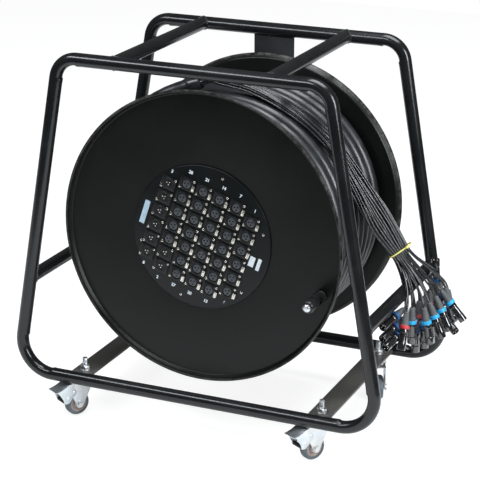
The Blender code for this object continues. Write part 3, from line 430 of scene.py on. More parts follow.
NICKEL = plated("nickel_plate", (0.66, 0.64, 0.58), (0.78, 0.75, 0.68), (0.18, 0.30), 0.06, 200.0)
STEEL = plated("machined_steel", (0.42, 0.43, 0.45), (0.52, 0.52, 0.53), (0.26, 0.40), 0.2, 50.0)
CABLE_BLACK = sheath(
    "multicore_sheath", (0.0115, 0.0125, 0.0145), (0.020, 0.022, 0.025), (0.30, 0.42), 0.65, 0.10
)
STRAND_BLACK = sheath(
    "tail_sheath", (0.0095, 0.0105, 0.012), (0.017, 0.018, 0.020), (0.20, 0.30), 0.95, 0.04
)


# Shapes

HERE = Matrix.Identity(4)


def link(name, mesh, materials):
    obj = bpy.data.objects.new(name, mesh)
    bpy.context.scene.collection.objects.link(obj)
    for material in materials:
        mesh.materials.append(material)
    return obj


def place(obj, body, replaces=()):
    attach(obj, body)
    if replaces:
        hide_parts(*replaces)
    return obj


def shaded(mesh, degrees=40):
    mesh.shade_smooth()
    mesh.set_sharp_from_angle(angle=math.radians(degrees))


def filled_mesh(name, fill):
    """A mesh that `fill` builds in an empty bmesh."""
    mesh = bpy.data.meshes.new(name)
    shape = bmesh.new()
    fill(shape)
    shape.to_mesh(mesh)
    shape.free()
    return mesh


def piece(name, fill, materials, body, replaces=(), degrees=40):
    """A piece that `fill` builds, in its place in the world."""
    mesh = filled_mesh(name, fill)
    shaded(mesh, degrees)
    obj = link(name, mesh, materials if isinstance(materials, (list, tuple)) else [materials])
    return place(obj, body, replaces)


def full_turn(steps):
    return np.linspace(0, 2 * math.pi, steps, endpoint=False)


def face_out(shape):
    bmesh.ops.recalc_face_normals(shape, faces=shape.faces)


def outward(build):
    """The same fill function, with every face turned outwards at its end."""

    def fill(shape):
        build(shape)
        face_out(shape)

    return fill


def skin(shape, rings, closed_round=True, cyclic=False, caps=True, material=0, uv=None):
    """Faces between rings of points. uv gives the length along the rings."""
    layers = [[shape.verts.new(point) for point in ring] for ring in rings]
    count = len(layers[0])
    layer = shape.loops.layers.uv.verify() if uv is not None else None
    pairs = list(zip(range(len(layers)), range(1, len(layers))))
    if cyclic:
        pairs.append((len(layers) - 1, 0))
    for low, high in pairs:
        for i in range(count if closed_round else count - 1):
            j = (i + 1) % count
            face = shape.faces.new((layers[low][i], layers[low][j], layers[high][j], layers[high][i]))
            face.material_index = material
            if layer is not None:
                top = uv[high] if high else uv[-1]
                spots = ((i, uv[low]), (i + 1, uv[low]), (i + 1, top), (i, top))
                for loop, (turn, length) in zip(face.loops, spots):
                    loop[layer].uv = (turn / count, length)
    if caps and not cyclic:
        shape.faces.new(reversed(layers[0])).material_index = material
        shape.faces.new(layers[-1]).material_index = material
    return layers


def frames_along(points, cyclic=False):
    """A frame at each point, turned as little as possible from the one before."""
    points = [Vector(p) for p in points]
    count = len(points)
    ways = []
    for i in range(count):
        before = points[i - 1] if i or cyclic else points[i]
        after = points[(i + 1) % count] if i < count - 1 or cyclic else points[i]
        ways.append((after - before).normalized())
    side = ways[0].orthogonal().normalized()
    frames = []
    for point, way in zip(points, ways):
        side = (side - way * side.dot(way)).normalized()
        frames.append((point, way, side, way.cross(side)))
    return frames


def sweep(shape, points, radius, sides, material=0, swell=None, caps=True):
    """A round tube along the points, with UVs. swell gives each ring's own radius."""
    rings, lengths, length = [], [], 0.0
    frames = frames_along(points)
    for i, (point, _, side, up) in enumerate(frames):
        if i:
            length += (point - frames[i - 1][0]).length
        lengths.append(length)
        size = radius if swell is None else swell[i]
        rings.append([point + (side * math.cos(a) + up * math.sin(a)) * size for a in full_turn(sides)])
    skin(shape, rings, caps=caps, material=material, uv=lengths)


def bend_at(corners, i, radius):
    """The ways to both neighbours, the centre of the rounding and its two ends; None where it is straight."""
    corner = np.array(corners[i], float)
    before = np.array(corners[i - 1], float) - corner
    after = np.array(corners[(i + 1) % len(corners)], float) - corner
    before /= np.linalg.norm(before)
    after /= np.linalg.norm(after)
    half = math.acos(np.clip(before @ after, -1, 1)) / 2
    if math.sin(half) > 0.9999:
        return None
    middle = (before + after) / np.linalg.norm(before + after)
    centre = corner + middle * radius / math.sin(half)
    first = corner + before * radius / math.tan(half)
    last = corner + after * radius / math.tan(half)
    return before, after, centre, first, last


def arc_angles(first, last, steps):
    """Angles along the shorter arc between two directions."""
    start = math.atan2(first[1], first[0])
    turn = (math.atan2(last[1], last[0]) - start + math.pi) % (2 * math.pi) - math.pi
    return [start + share * turn for share in np.linspace(0, 1, steps)]


def softened(corners, radii, segments=3, closed=True):
    """Corners of an outline with each one rounded to its own radius; 0 keeps it sharp."""
    outline = []
    for i, radius in enumerate(radii):
        open_end = not closed and i in (0, len(corners) - 1)
        bend = None if radius <= 0 or open_end else bend_at(corners, i, radius)
        if bend is None:
            outline.append(tuple(np.array(corners[i], float)))
            continue
        _, _, centre, first, last = bend
        for angle in arc_angles(first - centre, last - centre, segments + 1):
            outline.append((centre[0] + radius * math.cos(angle), centre[1] + radius * math.sin(angle)))
    return outline


def lathe(shape, profile, steps, matrix=HERE, material=0):
    """A turned body. The profile (radius, height) runs down the outer side; a radius of 0 is a pole."""
    rings = []
    loop = profile if profile[0][0] > 0 else profile[1:-1]
    for radius, height in loop:
        ring = [Vector((radius * math.cos(a), radius * math.sin(a), height)) for a in full_turn(steps)]
        rings.append([matrix @ point for point in ring])
    rings = rings[::-1]
    layers = skin(shape, rings, cyclic=profile[0][0] > 0, caps=False, material=material)
    if profile[0][0] == 0:
        for layer, height, flip in ((layers[0], profile[-1][1], True), (layers[-1], profile[0][1], False)):
            tip = shape.verts.new(matrix @ Vector((0, 0, height)))
            for i in range(steps):
                corners = (layer[i], layer[(i + 1) % steps], tip)
                shape.faces.new(corners[::-1] if flip else corners).material_index = material


def turned_profile(corners, radii, segments=3):
    """A lathe profile with softened corners, as a ring or from pole to pole."""
    closed = min(r for r, _ in corners) > 0
    return softened(corners, radii, segments, closed)


def turned(shape, corners, radii, steps, matrix=HERE, material=0, segments=3):
    lathe(shape, turned_profile(corners, radii, segments), steps, matrix, material)


def plate(shape, outline, low, high, matrix=HERE, edge=0.0006, material=0, segments=2):
    """A flat outline made as thick as from low to high, with softened edges."""
    before = set(shape.verts)
    face = shape.faces.new([shape.verts.new((x, y, low)) for x, y in outline])
    grown = bmesh.ops.extrude_face_region(shape, geom=[face])
    moved = [item for item in grown["geom"] if isinstance(item, bmesh.types.BMVert)]
    bmesh.ops.translate(shape, vec=(0, 0, high - low), verts=moved)
    fresh = [v for v in shape.verts if v not in before]
    faces = list({f for v in fresh for f in v.link_faces})
    bmesh.ops.recalc_face_normals(shape, faces=faces)
    for f in faces:
        f.material_index = material
    if edge > 0:
        rims = [
            e
            for e in {e for v in fresh for e in v.link_edges}
            if abs(e.verts[0].co.z - e.verts[1].co.z) < 1e-9
        ]
        bmesh.ops.bevel(
            shape, geom=rims, offset=edge, segments=segments, profile=0.6, affect="EDGES",
            clamp_overlap=True
        )
    fresh = [v for v in shape.verts if v not in before]
    bmesh.ops.transform(shape, matrix=matrix, verts=fresh)


def rectangle(half_x, half_y, corner=0.0, segments=3, centre=(0, 0)):
    cx, cy = centre
    corners = [
        (cx - half_x, cy - half_y), (cx + half_x, cy - half_y), (cx + half_x, cy + half_y),
        (cx - half_x, cy + half_y)
    ]
    return softened(corners, [corner] * 4, segments) if corner else corners


def hexagon(shape, across, low, high, matrix, material=0):
    """A nut or bolt head with its corners turned off at both ends."""
    radius = across / math.sqrt(3)
    chamfer = across * 0.055
    steps = 24
    rings = []
    for height, cut in ((low, True), (low + chamfer, False), (high - chamfer, False), (high, True)):
        ring = []
        for i in range(steps):
            angle = 2 * math.pi * i / steps
            sector = (angle + math.pi / 6) % (math.pi / 3) - math.pi / 6
            flat = across / 2 / math.cos(math.pi / 6 - abs(sector))
            size = min(flat, across * 0.49) if cut else min(flat, radius)
            ring.append(matrix @ Vector((size * math.cos(angle), size * math.sin(angle), height)))
        rings.append(ring)
    skin(shape, rings, material=material)


def rotated(axis, degrees):
    return Matrix.Rotation(math.radians(degrees), 4, axis)


def spoke(radius, degrees):
    """A shift in the XY plane, as far as the radius and in the angle's direction."""
    angle = math.radians(degrees)
    return Matrix.Translation((radius * math.cos(angle), radius * math.sin(angle), 0.0))


def point_cloud(name, points):
    mesh = bpy.data.meshes.new(name)
    mesh.from_pydata([tuple(p) for p in points], [], [])
    return mesh


# Repeating parts, made by Geometry Nodes

def geometry_group(name, inputs):
    group = bpy.data.node_groups.new(name, "GeometryNodeTree")
    group.interface.new_socket(name="Geometry", in_out="INPUT", socket_type="NodeSocketGeometry")
    for kind, socket, default in inputs:
        made = group.interface.new_socket(name=socket, in_out="INPUT", socket_type=f"NodeSocket{kind}")
        if default is not None:
            made.default_value = default
    group.interface.new_socket(name="Geometry", in_out="OUTPUT", socket_type="NodeSocketGeometry")
    return group, group.nodes.new("NodeGroupInput"), group.nodes.new("NodeGroupOutput")


def chain(group, *nodes):
    """Links each node's first geometry output to the next one's first input."""
    for first, second in zip(nodes, nodes[1:]):
        group.links.new(first.outputs[0], second.inputs[0])


def ending(group, given, out, last):
    real = group.nodes.new("GeometryNodeRealizeInstances")
    finish_node = group.nodes.new("GeometryNodeSetMaterial")
    group.links.new(given.outputs["Finish"], finish_node.inputs["Material"])
    chain(group, last, real, finish_node, out)


def make_repeat_tree():
    """One shape on every point, turned and sized the same way."""
    group, given, out = geometry_group(
        "shape_on_points",
        (
            ("Object", "Shape", None), ("Vector", "Turn", (0.0, 0.0, 0.0)), ("Float", "Size", 1.0),
            ("Material", "Finish", None)
        ),
    )
    source = added(group, "GeometryNodeObjectInfo", Object=given.outputs["Shape"])
    turn = group.nodes.new("FunctionNodeEulerToRotation")
    group.links.new(given.outputs["Turn"], turn.inputs[0])
    put = added(
        group, "GeometryNodeInstanceOnPoints", Points=given.outputs["Geometry"],
        Instance=source.outputs["Geometry"], Rotation=turn.outputs[0], Scale=given.outputs["Size"]
    )
    ending(group, given, out, put)
    return group


def make_thread_tree():
    """A screw thread that stands up on every point."""
    group, given, out = geometry_group(
        "thread_on_points",
        (
            ("Float", "Radius", 0.005), ("Float", "Pitch", 0.0015), ("Float", "Turns", 10.0),
            ("Float", "Depth", 0.0007), ("Material", "Finish", None)
        ),
    )
    radius, turns = given.outputs["Radius"], given.outputs["Turns"]
    spiral = added(
        group, "GeometryNodeCurveSpiral", Resolution=18, Rotations=turns, Start_Radius=radius,
        End_Radius=radius, Height=maths(group, "MULTIPLY", given.outputs["Pitch"], turns)
    )
    ridge = added(group, "GeometryNodeCurvePrimitiveCircle", Resolution=4, Radius=given.outputs["Depth"])
    body = added(
        group, "GeometryNodeCurveToMesh", Curve=spiral.outputs["Curve"],
        Profile_Curve=ridge.outputs["Curve"], Fill_Caps=True
    )
    put = added(
        group, "GeometryNodeInstanceOnPoints", Points=given.outputs["Geometry"],
        Instance=body.outputs["Mesh"]
    )
    ending(group, given, out, put)
    return group


def make_weld_tree():
    """Overlapping drops of weld metal along every line of the given mesh."""
    group, given, out = geometry_group(
        "weld_along_lines",
        (
            ("Float", "Spacing", 0.0016), ("Float", "Bead Size", 0.0019), ("Int", "Seed", 7),
            ("Material", "Finish", None)
        ),
    )
    curve = group.nodes.new("GeometryNodeMeshToCurve")
    steps = group.nodes.new("GeometryNodeResampleCurve")
    steps.mode = "LENGTH"
    group.links.new(given.outputs["Spacing"], steps.inputs["Length"])
    drop = added(group, "GeometryNodeMeshIcoSphere", Subdivisions=2, Radius=given.outputs["Bead Size"])
    soft = added(group, "GeometryNodeSetShadeSmooth", Geometry=drop.outputs["Mesh"])
    size = group.nodes.new("FunctionNodeRandomValue")
    size.data_type = "FLOAT"
    size.inputs[2].default_value = 0.8
    size.inputs[3].default_value = 1.15
    group.links.new(given.outputs["Seed"], size.inputs["Seed"])
    put = added(
        group, "GeometryNodeInstanceOnPoints", Instance=soft.outputs["Geometry"], Scale=size.outputs[1]
    )
    group.links.new(given.outputs["Geometry"], curve.inputs[0])
    chain(group, curve, steps, put)
    ending(group, given, out, put)
    return group


REPEAT = make_repeat_tree()
THREAD = make_thread_tree()
WELD = make_weld_tree()


def grown(name, mesh, tree, values, material, body, slot, replaces=(), degrees=40):
    """The plain mesh that a Geometry Nodes tree makes from a mesh of points or lines."""
    source = link(f"{name}_source", mesh, [])
    modifier = source.modifiers.new("grow", "NODES")
    modifier.node_group = tree
    for item in tree.interface.items_tree:
        if item.item_type == "SOCKET" and item.in_out == "INPUT" and item.name in values:
            modifier[item.identifier] = values[item.name]
        if item.item_type == "SOCKET" and item.in_out == "INPUT" and item.name == "Finish":
            modifier[item.identifier] = material
    bpy.context.view_layer.update()
    graph = bpy.context.evaluated_depsgraph_get()
    made = bpy.data.meshes.new_from_object(source.evaluated_get(graph))
    bpy.data.objects.remove(source)
    made.name = name
    made.materials.clear()
    if degrees:
        shaded(made, degrees)
    return place(link(name, made, [material]), body, replaces)


def repeated(name, fill, points, turn, material, body, slot, replaces=(), degrees=40):
    """The shape that `fill` builds, copied to every point; the shape itself is removed afterwards."""
    source = link(f"{name}_shape", filled_mesh(f"{name}_shape", fill), [])
    values = {"Shape": source, "Turn": turn, "Size": 1.0}
    made = grown(name, point_cloud(name, points), REPEAT, values, material, body, slot, replaces, degrees)
    bpy.data.objects.remove(source)
    return made


# Frame

def loop_rings(y, sides=28):
    """Rings along one bent loop. Its bends are pressed in on their inner side, between small lips."""
    corners = [
        (RAIL_HALF_FOOT, BOTTOM_RAIL_Z), (RAIL_HALF_TOP, TOP_RAIL_Z), (-RAIL_HALF_TOP, TOP_RAIL_Z),
        (-RAIL_HALF_FOOT, BOTTOM_RAIL_Z)
    ]
    rings = []
    angles = full_turn(sides)

    def ring(place_xz, inward, pressed):
        centre = Vector((place_xz[0], y + MIDDLE_Y, place_xz[1]))
        inside = Vector((inward[0], 0, inward[1]))
        points = []
        for a in angles:
            towards = max(0.0, math.cos(a))
            size = TUBE_R - pressed * towards**1.5
            points.append(centre + inside * math.cos(a) * size + Vector((0, 1, 0)) * math.sin(a) * TUBE_R)
        rings.append(points)

    for i, radius in enumerate((BEND_FOOT, BEND_TOP, BEND_TOP, BEND_FOOT)):
        before, after, centre, first, last = bend_at(corners, i, radius)
        in_first = (centre - first) / radius
        in_last = (centre - last) / radius
        for back, pressed in ((0.012, 0.0), (0.0045, -0.0006), (0.0022, -0.0004)):
            ring(first + before * back, in_first, pressed)
        for angle in arc_angles(-in_first, -in_last, 15):
            spot = centre + radius * np.array([math.cos(angle), math.sin(angle)])
            ring(spot, (centre - spot) / radius, 0.0019)
        for back, pressed in ((0.0022, -0.0004), (0.0045, -0.0006), (0.012, 0.0)):
            ring(last + after * back, in_last, pressed)
        stop = np.array(corners[(i + 1) % len(corners)])
        for share in (0.3, 0.5, 0.7):
            ring(last + (stop - last) * share, in_last, 0.0)
    return rings


def leg_x(z):
    """How far a leg's middle line is from the frame's middle at that height."""
    wider = (RAIL_HALF_FOOT - RAIL_HALF_TOP) * (TOP_RAIL_Z - z)
    return RAIL_HALF_TOP + wider / (TOP_RAIL_Z - BOTTOM_RAIL_Z)


def coped_rings(x, z, rail_way, sides=28):
    """Rings of a tube along Y whose ends fit the round side of the tubes that they meet."""
    across = Vector((rail_way[1], 0, -rail_way[0]))
    low, high = [], []
    for a in full_turn(sides):
        spot = Vector((math.cos(a) * TUBE_R, 0, math.sin(a) * TUBE_R))
        off = spot.dot(across)
        reach = LOOP_Y - math.sqrt(max(TUBE_R**2 - off**2, 0.0))
        low.append(Vector((x, MIDDLE_Y - reach, z)) + spot)
        high.append(Vector((x, MIDDLE_Y + reach, z)) + spot)
    middle = [[a.lerp(b, share) for a, b in zip(low, high)] for share in (0.25, 0.5, 0.75)]
    return [high, *middle[::-1], low]


def cross_tubes():
    slant = Vector((RAIL_HALF_TOP - RAIL_HALF_FOOT, TOP_RAIL_Z - BOTTOM_RAIL_Z)).normalized()
    for side, sign in SIDES:
        yield f"top_crossbar_{side}", sign * CROSSBAR_X, TOP_RAIL_Z, (1.0, 0.0)
        yield f"side_tube_{side}", sign * leg_x(SIDE_TUBE_Z), SIDE_TUBE_Z, (sign * slant.x, slant.y)


def build_frame():
    for node, y in (("front_loop", -LOOP_Y), ("back_loop", LOOP_Y)):
        rings = loop_rings(y)
        piece(
            f"{node}_tube", outward(lambda s, r=rings: skin(s, r, cyclic=True)), TUBE_BLACK, "frame",
            [node]
        )
    lines = []
    for node, x, z, way in cross_tubes():
        rings = coped_rings(x, z, way)
        piece(
            f"{node}_tube", outward(lambda s, r=rings: skin(s, r)), TUBE_BLACK, "frame",
            [node]
        )
        lines.extend([rings[0], rings[-1]])
    reach = LOOP_Y - TUBE_R
    for side, sign in SIDES:
        at = Matrix.Translation((sign * BAR_X, MIDDLE_Y, BOTTOM_RAIL_Z - BAR_THICK / 2))
        outline = rectangle(BAR_WIDTH / 2, reach, 0.0012, 2)
        name = f"caster_bar_{side}"
        piece(
            f"{name}_flat", lambda s, o=outline, m=at: plate(s, o, 0, BAR_THICK, m, 0.0008), BAR_BLACK,
            "frame", [name]
        )
    low, high = BOTTOM_RAIL_Z + TUBE_R, TOP_RAIL_Z - TUBE_R
    at = Matrix.Translation((0, LOOP_Y + MIDDLE_Y + 0.0025, (low + high) / 2)) @ rotated("X", 90)
    outline = rectangle(POST_WIDTH / 2, (high - low) / 2, 0.001, 2)
    piece(
        "axle_post_flat", lambda s: plate(s, outline, 0, 0.005, at, 0.0008), POST_BLACK, "frame",
        ["axle_post"]
    )
    mesh = bpy.data.meshes.new("welds")
    points, edges = [], []
    for ring in lines:
        first = len(points)
        points.extend(ring)
        edges.extend((first + i, first + (i + 1) % len(ring)) for i in range(len(ring)))
    straight = []
    for sign in (-1, 1):
        for end in (-1, 1):
            y = MIDDLE_Y + end * (reach - 0.0004)
            for dz in (-BAR_THICK / 2 - 0.0003, BAR_THICK / 2 + 0.0003):
                z = BOTTOM_RAIL_Z + dz
                straight.append(((sign * BAR_X - 0.021, y, z), (sign * BAR_X + 0.021, y, z)))
    for z in (low + 0.0002, high - 0.0002):
        for dy in (-0.0026, 0.0026):
            y = MIDDLE_Y + LOOP_Y + dy
            straight.append(((-POST_WIDTH / 2 + 0.002, y, z), (POST_WIDTH / 2 - 0.002, y, z)))
    for a, b in straight:
        points.extend((a, b))
        edges.append((len(points) - 2, len(points) - 1))
    mesh.from_pydata([tuple(p) for p in points], edges, [])
    grown(
        "weld_beads", mesh, WELD, {"Spacing": 0.0017, "Bead Size": 0.0018, "Seed": 7}, TUBE_BLACK, "frame",
        "black_tube", degrees=60
    )


# Casters

def caster_place(sign, y, trail):
    return Matrix.Translation((sign * BAR_X, y + MIDDLE_Y, 0)) @ Matrix.Rotation(trail, 4, "Z")


def fork_leg():
    corners = [
        (-0.0093, 0.0735), (-0.0093, 0.067), (0.0135, 0.0235), (0.0225, 0.0155), (0.0312, 0.0285),
        (0.042, 0.050), (0.042, 0.0735)
    ]
    return softened(corners, (0.001, 0.006, 0.0085, 0.007, 0.012, 0.003, 0.004), 5)


def side_plate(shape, outline, y_low, y_high, matrix, edge=0.0005, material=0):
    """A plate in the caster's XZ plane, as thick as from y_low to y_high."""
    turn = rotated("X", 90)
    plate(shape, outline, -y_high, -y_low, matrix @ turn, edge, material)


def build_caster(end, side, sign, y, trail):
    name = f"{end}_{side}"
    at = caster_place(sign, y, trail)
    nut_low = BOTTOM_RAIL_Z + BAR_THICK / 2
    stud_top = nut_low + GAP + NUT_HEIGHT + STUD_OVER_NUT

    def stem(shape):
        stud = [
            (0, stud_top), (0.0043, stud_top), (0.0047, stud_top - 0.0006), (0.0047, 0.0846),
            (0.011, 0.0846), (0.011, 0.0815), (0.0138, 0.0815), (0.0166, 0.0790), (0.0172, 0.0745),
            (0.0165, 0.0738), (0.004, 0.0738), (0.004, 0.0708), (0.0068, 0.0705), (0.0062, 0.0692),
            (0, 0.0688)
        ]
        radii = [0, 0.0003, 0, 0, 0.0004, 0.0004, 0.001, 0.0015, 0.0006, 0, 0, 0, 0.0004, 0.0003, 0]
        turned(shape, stud, radii, 32, at)
        hexagon(shape, 0.017, nut_low + 0.0014, nut_low + 0.0094, at)
        washer = [
            (0.0102, nut_low + 0.0014), (0.0102, nut_low), (0.0050, nut_low), (0.0050, nut_low + 0.0014)
        ]
        turned(shape, washer, [0.0004] * 4, 32, at, segments=2)

    piece(f"stem_{name}", stem, ZINC, "frame", [f"caster_stem_{name}"])

    half = FORK_INSIDE / 2
    outer = half + FORK_THICK

    def fork(shape):
        deck = softened(
            [(-0.0088, -outer), (0.036, -outer), (0.036, outer), (-0.0088, outer)],
            [0.004, 0.002, 0.002, 0.004], 4
        )
        top = FORK_TOP_Z
        plate(shape, deck, top - FORK_THICK, top, at, 0.0005)
        disc = [
            (0.0170, top), (0.0176, top - 0.0012), (0.0172, top - 0.0026), (0.0046, top - 0.0026),
            (0.0046, top)
        ]
        turned(shape, disc, [0.0006, 0.0006, 0.0004, 0.0002, 0.0002], 36, at, segments=2)
        for way in (-1, 1):
            low, high = sorted((way * half, way * outer))
            side_plate(shape, fork_leg(), low, high, at)
            turn = at @ Matrix.Translation((TRAIL, way * outer, WHEEL_R)) @ rotated("X", -90 * way)
            washer = [(0.0078, 0.0010), (0.0078, 0.0), (0.0030, 0.0), (0.0030, 0.0010)]
            turned(shape, washer, [0.0003] * 4, 24, turn, segments=2)
            hexagon(shape, 0.0112, 0.0008, 0.0036, turn)
            if way < 0:
                end_pin = [(0, 0.0056), (0.0030, 0.0056), (0.0034, 0.0050), (0.0034, 0.0030), (0, 0.0030)]
                turned(shape, end_pin, [0, 0.0004, 0, 0, 0], 20, turn)
        inner = at @ Matrix.Translation((TRAIL, 0, WHEEL_R)) @ rotated("X", 90)
        lathe(shape, [(0, half), (0.004, half), (0.004, -half), (0, -half)], 20, inner)

    piece(f"fork_{name}", fork, ZINC, f"fork_{name}", [f"caster_fork_{name}"])
    build_wheel(name, at)
    if end == "front":
        build_pedal(name, at)


def build_wheel(name, at):
    turn = at @ Matrix.Translation((TRAIL, 0, WHEEL_R)) @ rotated("X", 90)
    half = 0.0095

    def wheel(shape):
        tyre = [
            (0.0249, 0.0052), (0.02500, 0.0), (0.0249, -0.0052), (0.0222, -half), (0.0184, -half),
            (0.0180, -0.0075), (0.0180, 0.0075), (0.0184, half), (0.0222, half)
        ]
        radii = [0.004, 0.02, 0.004, 0.003, 0.0008, 0.0004, 0.0004, 0.0008, 0.003]
        turned(shape, tyre, radii, 64, turn, 0, segments=5)
        hub = [
            (0.0180, 0.0078), (0.0180, -0.0078), (0.0150, -0.0082), (0.0132, -0.0052), (0.0105, -0.0050),
            (0.0092, -0.0092), (0.0046, -0.0094), (0.0046, 0.0094), (0.0092, 0.0092), (0.0105, 0.0050),
            (0.0132, 0.0052), (0.0150, 0.0082)
        ]
        radii = [0.0002] * 2 + [0.0008] * 4 + [0.0004] * 2 + [0.0008] * 4
        turned(shape, hub, radii, 48, turn, 1, segments=2)
        for way in (-1, 1):
            cap = [
                (0.0078, way * 0.0100), (0.0086, way * 0.0088), (0.0046, way * 0.0088),
                (0.0046, way * 0.0100)
            ]
            profile = cap if way > 0 else cap[::-1]
            turned(shape, profile, [0.0003] * 4, 32, turn, 2, segments=2)
        face_out(shape)

    piece(
        f"wheel_{name}", wheel, [TYRE_GREY, HUB_PINK, ZINC], f"wheel_{name}",
        [f"caster_wheel_{name}"]
    )


def build_pedal(name, at):
    """The brake: a curved foot flap between two cheeks, their rivets and the shoe."""
    inner = 0.0145
    outer = inner + 0.0016

    def pedal(shape):
        route = softened(
            [(0.0432, 0.0731), (0.047, 0.0722), (0.0605, 0.0655), (0.072, 0.0622), (0.0765, 0.0618)],
            [0, 0.003, 0.02, 0.012, 0], 6, False
        )
        under = [(x - 0.0004, z - 0.0017) for x, z in route]
        side_plate(shape, route + under[::-1], -outer, outer, at, 0.0004, 0)
        cheek = softened(
            [
                (0.0435, 0.0722), (0.0335, 0.0615), (0.0300, 0.0560), (0.0310, 0.0500), (0.0490, 0.0330),
                (0.0580, 0.0330), (0.0600, 0.0420), (0.0660, 0.0520), (0.0730, 0.0618), (0.0605, 0.0650)
            ],
            [0.002, 0.004, 0.004, 0.004, 0.004, 0.004, 0.006, 0.006, 0.001, 0.004], 4)
        for way in (-1, 1):
            low, high = sorted((way * inner, way * outer))
            side_plate(shape, cheek, low, high, at, 0.0004, 0)
            for x, z, size in ((0.036, 0.055, 0.0040), (0.0505, 0.0440, 0.0034)):
                turn = at @ Matrix.Translation((x, way * outer, z)) @ rotated("X", -90 * way)
                head = [
                    (0, 0.0016), (size * 0.45, 0.0015), (size * 0.9, 0.0007), (size, -0.0002), (0, -0.0002)
                ]
                turned(shape, head, [0, 0.001, 0.001, 0, 0], 24, turn, 1)
        for x, z, size in ((0.036, 0.055, 0.0025), (0.0505, 0.0440, 0.0022)):
            turn = at @ Matrix.Translation((x, 0, z)) @ rotated("X", 90)
            lathe(shape, [(0, inner), (size, inner), (size, -inner), (0, -inner)], 16, turn, 1)
        shoe = rectangle(0.0035, 0.0030, 0.0008, 2, (0.0545, 0.0365))
        side_plate(shape, shoe, -inner, inner, at, 0.0004, 2)
        face_out(shape)

    piece(
        f"pedal_{name}", pedal, [PEDAL_ZINC, ZINC, SHOE_BLACK], f"pedal_{name}",
        [f"brake_pedal_{name}"]
    )


def build_casters():
    studs = []
    for end, y, trail in (("front", -STUD_Y, FRONT_TRAIL), ("back", STUD_Y, BACK_TRAIL)):
        for side, sign in SIDES:
            build_caster(end, side, sign, y, trail)
            studs.append((sign * BAR_X, y + MIDDLE_Y, 0.1000))
    values = {"Radius": 0.0044, "Pitch": 0.0015, "Turns": 10.8, "Depth": 0.0006}
    grown("stud_threads", point_cloud("studs", studs), THREAD, values, ZINC, "frame", "zinc", degrees=30)


# Drum

AXIS = Matrix.Translation((0, MIDDLE_Y, DRUM_Z)) @ rotated("X", -90)


def flange(opening, inner_y, side):
    """A spun sheet disc with a soft fold and a rolled edge. side is +1 where its rim points along +Y."""
    corners = [
        (0.2868, 0.0160), (0.2896, 0.0142), (0.2897, 0.0110), (0.2820, 0.0), (opening, 0.0),
        (opening, 0.0025), (0.2802, 0.0025), (0.2838, 0.0095), (0.2846, 0.0145)
    ]
    radii = [0.0012, 0.0015, 0.004, 0.0045, 0.0006, 0.0006, 0.0025, 0.003, 0.001]
    placed = [(r, inner_y + side * h) for r, h in corners]
    profile = turned_profile(placed, radii, 6)
    return profile if side > 0 else profile[::-1]


def build_drum():
    front = flange(0.1365, FRONT_INNER_Y, -1)
    back = flange(0.034, BACK_INNER_Y, 1)
    piece(
        "front_flange_sheet", outward(lambda s: lathe(s, front, 180, AXIS)), SHEET_BLACK, "drum",
        ["front_flange"]
    )
    piece(
        "back_flange_sheet", outward(lambda s: lathe(s, back, 180, AXIS)), SHEET_BLACK, "drum",
        ["back_flange"]
    )

    def core(shape):
        ring = [
            (0.1535, BACK_INNER_Y), (0.1535, FRONT_INNER_Y), (0.150, FRONT_INNER_Y), (0.150, BACK_INNER_Y)
        ]
        lathe(shape, ring, 96, AXIS)

    piece("core_tube", core, POST_BLACK, "drum", ["drum_core"])

    def housing(shape):
        ring = [
            (0.065, BACK_INNER_Y - 0.0003), (0.065, BACK_INNER_Y - 0.0063), (0.0311, BACK_INNER_Y - 0.0063),
            (0.0311, 0.020), (0.0263, 0.020), (0.0263, BACK_INNER_Y - 0.0003)
        ]
        turned(shape, ring, [0.0008, 0.0008, 0.003, 0.0008, 0.0005, 0.0005], 64, AXIS)

    piece("housing_body", housing, STEEL, "drum", ["bearing_housing"])
    for node, y in (("rear_bearing", 0.1475), ("front_bearing", 0.0325)):

        def bearing(shape, y=y):
            for inner, outer, low, high in (
                (0.0225, 0.026, -0.0075, 0.0075), (0.0128, 0.0165, -0.0075, 0.0075),
                (0.0165, 0.0225, -0.0065, 0.0065)
            ):
                ring = [(outer, y + high), (outer, y + low), (inner, y + low), (inner, y + high)]
                turned(shape, ring, [0.0006] * 4, 48, AXIS, segments=2)

        piece(f"{node}_rings", bearing, STEEL, "drum", [node])

    def axle(shape):
        end = LOOP_Y + 0.005
        face = LOOP_Y - 0.0028
        line = [
            (0, end), (0.0125, end), (0.0125, face), (0.040, face), (0.040, face - 0.008),
            (0.0125, face - 0.008), (0.0125, 0.024), (0.010, 0.024), (0.010, 0.008), (0, 0.008)
        ]
        turned(shape, line, [0, 0.0012, 0, 0.001, 0.001, 0.003, 0.0005, 0.0005, 0.001, 0], 64, AXIS)
        for turn in range(4):
            bolt_at = Matrix.Translation((0.030, 0, face - 0.008)) @ rotated("X", 180)
            spot = AXIS @ rotated("Z", 45 + 90 * turn) @ bolt_at
            hexagon(shape, 0.010, 0.0, 0.004, spot)

    piece("axle_body", axle, STEEL, "frame", ["drum_axle"])
    piece(
        "axle_end_nut", lambda s: hexagon(s, 0.030, 0.0120, 0.0237, AXIS), ZINC, "frame",
        ["axle_nut"]
    )
    bolts = [AXIS @ rotated("Z", 30 + 60 * i) @ Vector((0.052, 0, BACK_INNER_Y + 0.0025)) for i in range(6)]
    repeated(
        "housing_bolts", lambda s: hexagon(s, 0.010, 0.0, 0.0042, HERE), bolts, (math.radians(-90), 0, 0),
        ZINC, "drum", "zinc"
    )


# Connector panel

